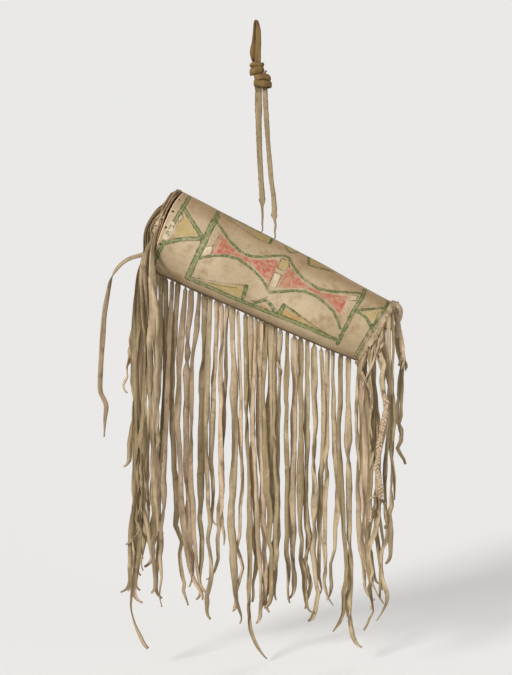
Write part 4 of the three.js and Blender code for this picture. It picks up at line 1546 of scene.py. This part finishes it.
@dataclass
class EndFringe:
    """Ragged strips that hang from the laced right end.

    A hung strip: angle round the rim from its bottom (front negative), how far it stands off, sways, length and
    share of the usual width. A seen strip: share of the usual width, then its course as columns and rows of the
    view with depths in millimetres.
    """

    cut: HangingCut = HangingCut(root=0.7, twist=0.9, drift=0.0018, plumb=(0.85, 0.5, 0.0))
    thin: HangingCut = HangingCut(root=0.6, twist=0.7, drift=0.0008, kink=0.0008, curl=0.0)
    inset: float = 0.0035
    root_off: float = 0.001
    past_rim: float = 0.004
    turn_down: float = 0.012
    side_clear: float = 0.003
    seed: int = 19
    band_seed: int = 23
    band_width: float = 0.0105
    band_thick: float = 0.0012
    band_off: float = 0.0019
    fold_seed: int = 37
    fold_width: float = 0.0135
    fold_thick: float = 0.0065
    plait_seed: int = 29
    plait_pitch: float = 0.0165
    strand_width: float = 0.0036
    strand_thick: float = 0.0022
    strips: tuple[tuple[float, ...], ...] = (
        (-8, 5, 1, -2, 8, 14, 360, 0.85), (-24, 5, 8, 3, 12, 19, 370, 0.95), (-45, 5, 10, 5, 6, 6, 412, 0.9),
        (-64, 5, 8, 10, 11, 13, 372, 0.9), (18, 5, 4, 6, 8, 9, 340, 0.9), (44, 5, 8, 9, 12, 16, 356, 0.9),
        (72, 5, 9, 12, 14, 14, 390, 0.85), (104, 6, 16, 14, 14, 14, 380, 0.85), (134, 6, 16, 16, 15, 14, 240, 0.75),
    )
    seen: tuple[tuple[float, Course], ...] = (
        (0.64, [(390, 313, -47), (388.8, 326, -57), (388.4, 350, -60), (388.4, 395, -60), (387, 460, -58),
                (385.5, 510, -57), (386.4, 539, -57), (382, 553, -57), (383, 576, -57), (386.4, 598, -56),
                (382.5, 611, -56), (377, 621, -56)]),
        (0.48, [(393, 310, -38), (392.8, 324, -54), (393.3, 353, -58), (391.6, 395, -59), (391, 440, -58),
                (394, 500, -57)]),
        (0.8, [(395, 309, -28), (398.2, 329, -42), (402.4, 350, -46), (404.4, 362, -46), (402, 369, -45)]),
        (0.6, [(396, 318, -26), (400.5, 342, -34), (401, 366, -37), (398.2, 388, -38), (397, 420, -38),
               (401.5, 436, -37)]),
        (0.7, [(378.5, 344, -54), (380.4, 354, -65), (384, 364, -69), (381.8, 377, -71), (383.2, 391, -71),
               (385, 402, -69), (384, 430, -67), (379.5, 455, -66), (378, 480, -66), (379, 505, -65),
               (376.3, 532, -64), (370.8, 547, -63), (370, 559, -63), (373.9, 572, -62), (371, 580, -62),
               (376, 593, -62), (383, 604, -61)]),
        (0.3, [(379, 496, -70), (372.5, 497, -70), (369.8, 501, -70), (370.6, 511, -69), (370.2, 522, -68)]),
        (0.34, [(377, 498, -70), (375.4, 506, -70), (374.6, 510, -69), (373.2, 517, -68)]),
        (0.38, [(381, 499, -70), (384, 503, -70), (386, 509, -69), (387, 519, -68), (384.5, 529, -67)]),
        (0.4, [(380, 334, -54), (378, 347, -64), (372, 366, -65), (366, 378, -65), (362, 386, -64)]),
        (0.65, [(368, 350, -48), (363, 362, -55), (358.5, 380, -55), (356.5, 400, -54), (360, 470, -53)]),
        (0.5, [(374, 342, -52), (371.5, 360, -62), (370, 374, -62), (372, 395, -62), (370, 450, -61)]),
        (1.4, [(383, 327, -53), (382, 338, -60), (381, 348, -62), (379, 360, -61)]),
        (0.4, [(377, 340, -54), (375, 352, -63), (380, 366, -65), (384, 380, -65), (383, 388, -64)]),
        (0.45, [(403, 358, -44), (405.6, 364, -44), (406, 370, -43)]),
        (1.1, [(397.5, 338, -30), (399.6, 350, -38), (401.4, 358, -42), (400, 366, -43)]),
        (0.4, [(366, 372, -60), (369, 380, -62), (371.5, 392, -62), (373, 400, -62), (370.5, 410, -61)]),
        (0.7, [(361, 366, -50), (362.5, 374, -57), (367, 384, -59), (371, 393, -58), (373, 420, -57),
               (371, 470, -56)]),
    )
    plait: Course = (
        (383.4, 390, -75), (385.8, 400, -76), (385.6, 413, -76), (383.4, 424, -75), (381, 434, -75),
        (379.2, 447, -74), (378.2, 459, -74), (376.6, 468, -73), (378.8, 477, -73), (380.4, 486, -72),
        (380.6, 499, -71),
    )
    folded: Course = (
        (391, 303.5, -12), (395.5, 304, -16), (398.6, 307.5, -21), (399.4, 314, -25), (397.6, 322, -29),
        (396, 332, -33),
    )

    def build(self) -> Piece:
        """Builds band, strips, plait and fold.

        Formula: a hung strip leaves the rim's skin, stands off past the rim and turns down. One from the upper
        half of the rim first goes out to the tube's side.

        Returns:
            The piece.
        """
        rng = np.random.default_rng(self.seed)
        ribbons = Ribbons()
        self.band(ribbons)
        for degrees, off, *sways, fall, scale in self.strips:
            angle = math.pi + math.radians(degrees)
            off = off * MM
            along = float(CASE.right_rim(angle)) - self.inset
            root = CASE.place(along, angle, -self.root_off)
            clear = CASE.place(along + self.past_rim, angle, -off)
            out = unit(clear - CASE.place(along + self.past_rim, angle, 0.0))
            hang = clear + 0.3 * off * out - self.turn_down * UP
            if abs(degrees) > 90:
                hang[1] = math.copysign(CASE.radius_right + off + self.side_clear, degrees)
            keys = np.array([root, clear, hang, *swayed(hang, sways, fall)])
            self.cut.hang(ribbons, keys, CASE.axis, rng, scale)
        for scale, course in self.seen:
            self.thin.hang(ribbons, VIEW.place(course), CASE.axis, rng, scale)
        self.plaited(ribbons)
        self.fold(ribbons)
        fringe = dress(ribbons.build("end_strips", FRINGE_HIDE), "end_fringe")
        return fringe

    def band(self, ribbons: Ribbons) -> None:
        """Adds the ragged, folded band that the strips are cut from, round the outside of the rim.

        Formula: a ring on the rim's skin that leaves a gap at the top. Slow waves move it along the tube and off
        the skin, and its width leans out by a wave.

        Args:
            ribbons: where it goes.
        """
        rng = np.random.default_rng(self.band_seed)
        share = np.linspace(0, 1, 420)
        around = math.radians(8) + math.radians(344) * share
        along = CASE.right_rim(around) - self.inset + wander(rng, share, 18.0, 0.001)
        stand = self.band_off + np.abs(wander(rng, share, 20.0, 0.0018))
        path = CASE.place(along, around, -stand)
        width = self.band_width + wander(rng, share, 16.0, 0.0016)
        edges = ragged_edges(rng, share, (50.0, 0.16), (44.0, 0.2))
        out = unit(path - CASE.place(along, around, 0.03))
        lean = wander(rng, share, 13.0, 0.4)
        across = CASE.axis * np.cos(lean)[:, None] + out * np.sin(lean)[:, None]
        cup = wander(rng, share, 22.0, 0.0012)
        ribbons.add(path, across, width, self.band_thick, 0.6, cup, Section.FLAT, edges)

    def fold(self, ribbons: Ribbons) -> None:
        """Adds the thick fold of hide that bulges past the disc near the top.

        Formula: a round section, widest and thickest near the middle by half sines.

        Args:
            ribbons: where it goes.
        """
        path = smooth_path(VIEW.place(self.folded), 60)
        share = np.linspace(0, 1, 60)
        rng = np.random.default_rng(self.fold_seed)
        full = 0.45 + 0.55 * np.sin(math.pi * np.clip(share * 1.15, 0, 1))
        width = self.fold_width * full * (1 + wander(rng, share, 5.0, 0.12))
        thick = self.fold_thick * (0.5 + 0.5 * np.sin(math.pi * share))
        ribbons.add(path, np.array([0.55, 0.6, 0.3]), width, thick, 0.8, 0.0, Section.ROUND)

    def plaited(self, ribbons: Ribbons) -> None:
        """Adds the frayed length in front: three thin strands in a flat, uneven plait.

        Formula: a strand lies aside by the sine of its phase and forward by the sine of twice that phase. The
        three phases are a third of a turn apart.

        Args:
            ribbons: where the strands go.
        """
        line = smooth_path(VIEW.place(self.plait), 300)
        run = run_along(line)
        share = run / run[-1]
        rng = np.random.default_rng(self.plait_seed)
        phase = 2 * math.pi * run / self.plait_pitch + wander(rng, share, 9.0, 0.9)
        size = (1 + wander(rng, share, 12.0, 0.34)) * (0.35 + 0.65 * smoothstep(run, 0.0, 0.02))
        to_end = 0.5 + 0.5 * smoothstep(run[-1] - run, 0.0, 0.012)
        for strand in range(3):
            turn = phase + 2 * math.pi * strand / 3
            aside = np.stack([0.0027 * size * np.sin(turn), -0.0013 * size * np.sin(2 * turn), 0 * run], axis=1)
            width = self.strand_width * (1 + wander(rng, share, 30.0, 0.34)) * to_end
            tone = 0.86 + 0.05 * strand
            ribbons.add(line + aside, RIGHT, width, self.strand_thick, tone, 0.0, Section.SOFT)


@dataclass
class EndLacing:
    """Thong that sews the end disc to the tube, over the rim and through both."""

    stitches: int = 12
    reach: float = 0.0052
    width: float = 0.0032
    thick: float = 0.0013
    gap: float = math.radians(9)
    seed: int = 5

    def build(self) -> Piece:
        """Builds the lacing.

        Formula: a helix wound on the rim's circle, its turns a little uneven.

        Returns:
            The piece.
        """
        rng = np.random.default_rng(self.seed)
        share = np.linspace(0, 1, self.stitches * 26)
        uneven = wander(rng, share, 9.0, 0.25)
        around = self.gap + (2 * math.pi - 2 * self.gap) * share
        turn = 2 * math.pi * self.stitches * share + uneven
        reach = self.reach + wander(rng, share, 14.0, 0.0007)
        out = CASE.radius_right + reach * np.cos(turn)
        path = END_FRAME.place(reach * np.sin(turn), -out * np.sin(around), out * np.cos(around))
        across = END_FRAME.place(0.0, -np.cos(around), -np.sin(around)) - np.array(END_FRAME.origin)
        width = self.width + wander(rng, share, 20.0, 0.0006)
        ribbons = Ribbons()
        ribbons.add(path, across, width, self.thick, 0.35)
        return dress(ribbons.build("end_lacing_thong", STRAP_HIDE), "end_lacing")


@dataclass
class HingeThongs:
    """Two thong loops through the lid's edge and the tube's rim."""

    radius: float = 0.0083
    spread: float = 0.022
    turns: float = 1.06
    width: float = 0.0044
    thick: float = 0.002

    def build(self) -> list[Piece]:
        """Builds both loops.

        Formula: slightly uneven rings about the hinge's axis that widen and drift along it as they go round, so
        that their ends cross.

        Returns:
            The pieces.
        """
        loops = []
        share = np.linspace(0, self.turns, 70)
        turn = 2 * math.pi * share
        reach = self.radius + 0.0006 * np.sin(3 * turn) + 0.0012 * share
        for name, side in (("front", -1.0), ("back", 1.0)):
            drift = side * self.spread + 0.0016 * (share - 0.5)
            path = LID_FRAME.place(reach * np.cos(turn), drift, reach * np.sin(turn))
            ribbons = Ribbons()
            ribbons.add(path, BACK, self.width, self.thick, 0.4)
            loop = ribbons.build(f"hinge_loop_{name}", STRAP_HIDE)
            loops.append(dress(loop, f"lid_hinge_thong_{name}"))
        return loops


@dataclass
class LooseTie:
    """Stiff loose tie from the lowest lace hole at the back, in steps from that hole."""

    width: float = 0.0084
    thick: float = 0.0017
    seed: int = 3
    route: Course = (
        (-2, 6, 0), (-12, 10, -1), (-36, 10, -4), (-62, 10, -11), (-81, 11, -17), (-95, 11, -27),
        (-105, 9, -40), (-111, 6, -56), (-114, 2, -75), (-117, -2, -95), (-119, -6, -116),
        (-120, -13, -153), (-121, -21, -200), (-120, -27, -239), (-115, -29, -249), (-110, -30, -261),
        (-111, -33, -285), (-112, -35, -313),
    )

    def build(self, tube: RawhideTube) -> Piece:
        """Formula: it is narrow in its hole and at its end, and its width turns from flat to plumb where it falls.

        Args:
            tube: the tube that it comes out of.

        Returns:
            The piece.
        """
        angle = float(tube.lace_angles()[-1])
        hole = CASE.place(CASE.left_rim(angle) + tube.lace_inset, angle, tube.wall / 2)
        keys = np.vstack([hole, hole + MM * np.array(self.route)])
        path = smooth_path(keys, 150)
        run = run_along(path)
        rng = np.random.default_rng(self.seed)
        share = run / run[-1]
        width = self.width * (0.36 + 0.64 * smoothstep(run, 0.004, 0.03)) * (1 + wander(rng, share, 7.0, 0.12))
        width = width * (0.3 + 0.7 * smoothstep(run[-1] - run, 0.0, 0.05))
        flat = unit(np.array([0.0, 0.6, 1.0]))
        plumb = smoothstep(run, 0.1, 0.2)[:, None]
        across = unit(flat * (1 - plumb) + unit(np.array([1.0, 0.45, 0.0])) * plumb)
        ribbons = Ribbons()
        ribbons.add(path, across, width, self.thick, 0.95, wander(rng, share, 5.0, 0.0008))
        tie = dress(ribbons.build("loose_tie", STRAP_HIDE), "lid_tie_thong")
        return tie


@dataclass(frozen=True)
class LegCut:
    """One leg of the strap: where it starts, its width at the top, the middle and the torn end, its tail."""

    name: str
    top_x: float
    hole: int
    widths: Triple
    tail: float
    seed: int


@dataclass
class Hanger:
    """The carrying strap: a brown loop, its binding, the knot under it and two pale legs to the tube."""

    loop_thick: float = 0.0026
    loop_seed: int = 11
    wrap_thick: float = 0.003
    wrap_sunk: float = 0.0014
    wrap_top: float = -0.0643
    wrap_turns: tuple[tuple[float, float], ...] = ((0.0074, 1.0), (0.0118, -9.0))
    knot_top: float = -0.0836
    knot_turns: tuple[tuple[float, float], ...] = ((0.0098, 5.0), (0.0108, 7.0))
    leg_top: float = -0.1043
    leg_thick: float = 0.002
    tail_width: float = 0.0034
    stopper_depth: float = 0.0075
    stopper_radius: float = 0.0036
    stopper_turns: int = 5
    tube: RawhideTube = field(default_factory=RawhideTube)
    legs: tuple[LegCut, LegCut] = (
        LegCut("left", top_x=0.004, hole=0, widths=(0.0112, 0.0088, 0.0086), tail=0.047, seed=41),
        LegCut("right", top_x=0.0141, hole=1, widths=(0.0084, 0.0074, 0.0092), tail=0.036, seed=43),
    )
    route: Line = (
        (-2.6, -64), (-5.4, -52), (-5.0, -40), (-2.6, -22), (-1.9, -6), (-0.7, 1.6), (0.8, 3.2), (2.2, 1.4),
        (3.1, -5), (3.6, -16), (3.6, -32), (3.2, -50), (2.8, -64),
    )
    end_route: Course = ((6.8, -6.8, -90.5), (10.5, -7.4, -86.2), (13.8, -6.8, -82), (16.6, -5, -78.6))

    def build(self) -> list[Piece]:
        """Builds every piece of the strap.

        Returns:
            The pieces.
        """
        wrap = self.wrap("loop_binding", "loop_wrap", (0.0015, self.wrap_top), (0.0112, 0.0082), self.wrap_turns)
        knot = self.wrap(
            "strap_binding", "strap_knot", (0.0105, self.knot_top), (0.0142, 0.0098), self.knot_turns, cut_end=True
        )
        loop = self.loop(wrap)
        legs = [self.leg(cut, [knot] if cut.hole == 0 else []) for cut in self.legs]
        stoppers = [self.stopper(name, place) for name, place in zip(("left", "right"), self.tube.strap_holes)]
        return [wrap, knot, loop, *legs, *stoppers]

    def loop(self, wrap: Piece) -> Piece:
        """Builds the loop.

        Formula: its left strand shows its edge above a bulge, a bell curve of the width, and its right strand
        shows its face.

        Args:
            wrap: the binding that holds its ends; not used.

        Returns:
            The piece.
        """
        behind = np.linspace(0.0026, -0.0016, len(self.route))
        keys = np.array([(x * MM, y, z * MM) for (x, z), y in zip(self.route, behind)])
        path = smooth_path(keys, 130)
        share = np.linspace(0, 1, 130)
        face = np.maximum(smoothstep(share, 0.5, 0.62), np.exp(-(((share - 0.14) / 0.15) ** 2)))
        across = np.stack([0.4 + 0.6 * face, 1 - 0.9 * face, np.zeros(130)], axis=1)
        rng = np.random.default_rng(self.loop_seed)
        bulge = np.exp(-(((share - 0.14) / 0.1) ** 2))
        width = 0.006 + 0.0036 * smoothstep(share, 0.52, 0.68) + 0.003 * bulge + wander(rng, share, 8.0, 0.0006)
        cup = wander(rng, share, 5.0, 0.0008)
        ribbons = Ribbons()
        ribbons.add(path, across, width, self.loop_thick, 0.5, cup)
        loop = dress(ribbons.build("brown_loop", BROWN_HIDE), "hanging_loop")
        return loop

    def wrap(
        self,
        name: str,
        node: str,
        centre: tuple[float, float],
        size: tuple[float, float],
        turns: tuple[tuple[float, float], ...],
        cut_end: bool = False,
    ) -> Piece:
        """Builds a binding: flat turns of thong, each an ellipse at its own tilt, round a core.

        Formula: a turn's height falls with its place across times the tangent of its tilt. Its edges tuck in,
        so that it is crowned. Its draws are seeded with the length of the name.

        Args:
            name: the piece's name.
            node: the CAD node that it stands for.
            centre: x of its middle and z of its top.
            size: half widths along X and Y.
            turns: height of each turn, and how far it dips to the right, in degrees.
            cut_end: whether the thong's cut end stands out at the top right.

        Returns:
            The piece.
        """
        rng = np.random.default_rng(len(name))
        share = np.linspace(0, 1, 110)
        angle = 2 * math.pi * share + 0.6
        ribbons = Ribbons()
        top = centre[1]
        for height, tilt in turns:
            swell = 1 + 0.06 * np.sin(2 * angle + rng.uniform(0, 6)) + 0.03 * np.sin(5 * angle + rng.uniform(0, 6))
            x = (size[0] - self.wrap_sunk) * np.cos(angle) * swell
            y = (size[1] - self.wrap_sunk) * np.sin(angle) * swell
            z = top - 0.5 * height - math.tan(math.radians(tilt)) * x + 0.0007 * np.sin(3 * angle + rng.uniform(0, 6))
            path = np.stack([centre[0] + x, y, z], axis=1)
            width = height * 1.04 * (1 + wander(rng, share, 5.0, 0.1)) * (0.86 + 0.14 * np.sin(math.pi * share))
            edges = ragged_edges(rng, share, (9.0, 0.08), (9.0, 0.08))
            cup = -0.0016 + wander(rng, share, 7.0, 0.0005)
            tone = float(rng.uniform(0.2, 0.9))
            ribbons.add(path, UP, width, self.wrap_thick, tone, cup, Section.SOFT, edges)
            top -= height
        core_z = np.linspace(centre[1] - 0.0008, top + 0.0008, 20)
        core = np.stack([np.full(20, centre[0]), np.zeros(20), core_z], axis=1)
        ribbons.add(core, RIGHT, 1.6 * size[0], 1.5 * size[1], 0.1, 0.0, Section.ROUND)
        if cut_end:
            end = smooth_path(MM * np.array(self.end_route), 24)
            ribbons.add(end, np.array([0.7, 0.1, 0.6]), np.linspace(0.0062, 0.0042, 24), 0.0021, 0.95, 0.0006)
        return dress(ribbons.build(name, BROWN_HIDE), node)

    def leg(self, cut: LegCut, pieces: list[Piece]) -> Piece:
        """Builds a leg: a flat strap with a torn end, and a thin crooked tail from it through its hole.

        Formula: the strap bows by a half sine, the tail is crooked at its quarters, and waves under a bell curve
        fray the edges at the torn end.

        Args:
            cut: the leg's sizes.
            pieces: pieces that belong to its cord; not used.

        Returns:
            The piece.
        """
        along = self.tube.strap_holes[cut.hole]
        above = CASE.place(along, 0.0, -0.0032)
        inside = CASE.place(along, 0.0, 0.0022)
        neck = above + np.array([0.0, 0.0, cut.tail])
        top = np.array([cut.top_x, 0.0, self.leg_top])
        bow = np.array([-0.002, 0.0, 0.0])
        keys = [top + (neck - top) * share + bow * math.sin(math.pi * share) for share in (0.0, 0.25, 0.5, 0.75, 0.97)]
        crook = np.array([0.0003 + 0.0004 * cut.hole, 0.0, 0.0])
        crooks = ((0.75, -1.0), (0.5, 1.0), (0.25, -0.6))
        keys += [above + (neck - above) * share + side * crook for share, side in crooks]
        path = smooth_path(np.array([*keys, above, inside]), 210)
        run = run_along(path)
        share = run / run[-1]
        rng = np.random.default_rng(cut.seed)
        end = run[-1] - cut.tail
        to_tail = smoothstep(run, end - 0.004, end + 0.005)
        torn = np.exp(-(((run - end + 0.005) / 0.006) ** 2))
        body = np.interp(run, [0.0, 0.028, 0.5 * end, end], [cut.widths[0], *cut.widths])
        tail = self.tail_width * (1.25 - 0.6 * smoothstep(run, end, run[-1]))
        width = (body * (1 - to_tail) + tail * to_tail) * (1 + wander(rng, share, 9.0, 0.06) + 0.12 * torn)
        turn = wander(rng, share, 2.0, 0.4) * smoothstep(share, 0.05, 0.3)
        across = np.stack([np.cos(turn), np.sin(turn), np.zeros_like(turn)], axis=1)
        edges = tuple(1 + wander(rng, share, 50.0, 0.05) + torn * wander(rng, share, 46.0, 0.26) for _ in range(2))
        cup = wander(rng, share, 7.0, 0.0011) + 0.002 * torn
        ribbons = Ribbons()
        ribbons.add(path, across, width, self.leg_thick, float(rng.uniform(0.3, 0.8)), cup, Section.FLAT, edges)
        leg = dress(ribbons.build(f"strap_leg_{cut.name}", STRAP_HIDE), f"strap_{cut.name}")
        return leg

    def stopper(self, name: str, along: float) -> Piece:
        """Builds the knot inside the tube that holds a leg.

        Formula: turns of thong wound from pole to pole of a ball.

        Args:
            name: which leg.
            along: place of its hole along the tube.

        Returns:
            The piece.
        """
        share = np.linspace(0, 1, 160)
        turn = 2 * math.pi * self.stopper_turns * share
        lean = math.pi * share
        centre = CASE.place(along, 0.0, self.stopper_depth)
        ball = np.stack([np.cos(turn) * np.sin(lean), np.sin(turn) * np.sin(lean), np.cos(lean)], axis=1)
        ribbons = Ribbons()
        ribbons.add(centre + self.stopper_radius * ball, UP, 0.003, 0.0016, 0.5)
        return dress(ribbons.build(f"stopper_ball_{name}", STRAP_HIDE), f"stopper_knot_{name}")


@dataclass(frozen=True)
class Lamp:
    """A soft distant lamp: the side that it shines from, its strength, and its spread in degrees."""

    name: str
    side: Triple
    strength: float
    spread: float
    glossy: bool = True


@dataclass(frozen=True)
class Stage:
    """Pale floor, soft light and the camera at the photograph's place."""

    floor_z: float = -1.026
    floor_side: float = 60.0
    pale: Triple = (0.8, 0.792, 0.78)
    sky: float = 0.24
    glow: float = 0.134
    seen: float = 0.82
    lamps: tuple[Lamp, ...] = (
        Lamp("key", side=(-1.7, -2.2, 1.25), strength=3.0, spread=16.0),
        Lamp("fill", side=(1.9, -1.3, 0.3), strength=0.5, spread=45.0),
        Lamp("back", side=(0.8, 3.0, 1.5), strength=1.7, spread=40.0, glossy=False),
    )

    def build(self) -> None:
        """Makes floor, lamps, world and camera."""
        self.camera()
        self.floor()
        for lamp in self.lamps:
            self.shine(lamp)
        self.world()
        bpy.context.scene.view_settings.view_transform = "Standard"

    def camera(self) -> None:
        """Sets the camera so that the photograph's height spans its share of the object."""
        data = bpy.data.cameras.new("camera")
        data.sensor_width = 36.0
        data.lens = data.sensor_width * VIEW.distance / (VIEW.height * VIEW.pixel)
        camera = bpy.data.objects.new("camera", data)
        bpy.context.scene.collection.objects.link(camera)
        away = Vector((math.sin(VIEW.azimuth), -math.cos(VIEW.azimuth), 0.0))
        camera.location = Vector(VIEW.target) + VIEW.distance * away
        camera.rotation_mode = "QUATERNION"
        camera.rotation_quaternion = (-away).to_track_quat("-Z", "Y")
        bpy.context.scene.camera = camera

    def floor(self) -> None:
        """Makes the pale floor under the longest strip: it glows a little to the camera, and is clear from below."""
        side = self.floor_side
        corners = np.array([(-side, -side), (side, -side), (side, side), (-side, side)])
        points = np.column_stack([corners, np.full(4, self.floor_z)])
        shader = Shader("pale_floor")
        tint = (*self.pale, 1.0)
        glow = shader.times(shader.node("LightPath", {}).outputs["Is Camera Ray"], self.glow)
        shader.wire({"Base Color": tint, "Roughness": 1.0, "Specular IOR Level": 0.0})
        shader.wire({"Emission Color": tint, "Emission Strength": glow})
        back = shader.node("NewGeometry", {}).outputs["Backfacing"]
        clear = shader.node("BsdfTransparent", {}).outputs["BSDF"]
        below = shader.node("MixShader", {"Fac": back, 1: shader.surface.outputs["BSDF"], 2: clear})
        shader.feed(shader.output.inputs["Surface"], below.outputs["Shader"])
        new_piece("floor", points, [[0, 1, 2, 3]], shader.material)

    @staticmethod
    def shine(lamp: Lamp) -> None:
        """Makes a lamp.

        Args:
            lamp: its place and strength.
        """
        data = bpy.data.lights.new(lamp.name, "SUN")
        data.energy = lamp.strength
        data.angle = math.radians(lamp.spread)
        made = bpy.data.objects.new(lamp.name, data)
        made.rotation_mode = "QUATERNION"
        made.rotation_quaternion = (-Vector(lamp.side)).to_track_quat("-Z", "Y")
        made.visible_glossy = lamp.glossy
        bpy.context.scene.collection.objects.link(made)

    def world(self) -> None:
        """Makes a pale world: soft light on the object, a paler tone where the camera sees it."""
        world = bpy.data.worlds.new("world")
        world.use_nodes = True
        tree = world.node_tree
        background = tree.nodes["Background"]
        background.inputs["Color"].default_value = (1.0, 0.99, 0.975, 1.0)
        path = tree.nodes.new("ShaderNodeLightPath")
        mix = tree.nodes.new("ShaderNodeMapRange")
        mix.inputs["To Min"].default_value = self.sky
        mix.inputs["To Max"].default_value = self.seen
        tree.links.new(path.outputs["Is Camera Ray"], mix.inputs["Value"])
        tree.links.new(mix.outputs["Result"], background.inputs["Strength"])
        bpy.context.scene.world = world


def main() -> None:
    logging.basicConfig(level=logging.INFO, format="%(message)s")
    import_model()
    Stage().build()
    tube = RawhideTube()
    pieces = [*Hanger(tube=tube).build(), LooseTie().build(tube)]
    pieces += [tube.build(), LID.build(), END_DISC.build()]
    pieces += [SeamFringe().build(), LidFringe().build(), EndFringe().build()]
    pieces += [EndLacing().build(), *HingeThongs().build()]
    for piece in pieces:
        LOG.info("%s: %d faces", piece.name, len(piece.data.polygons))


if __name__ == "__main__":
    main()
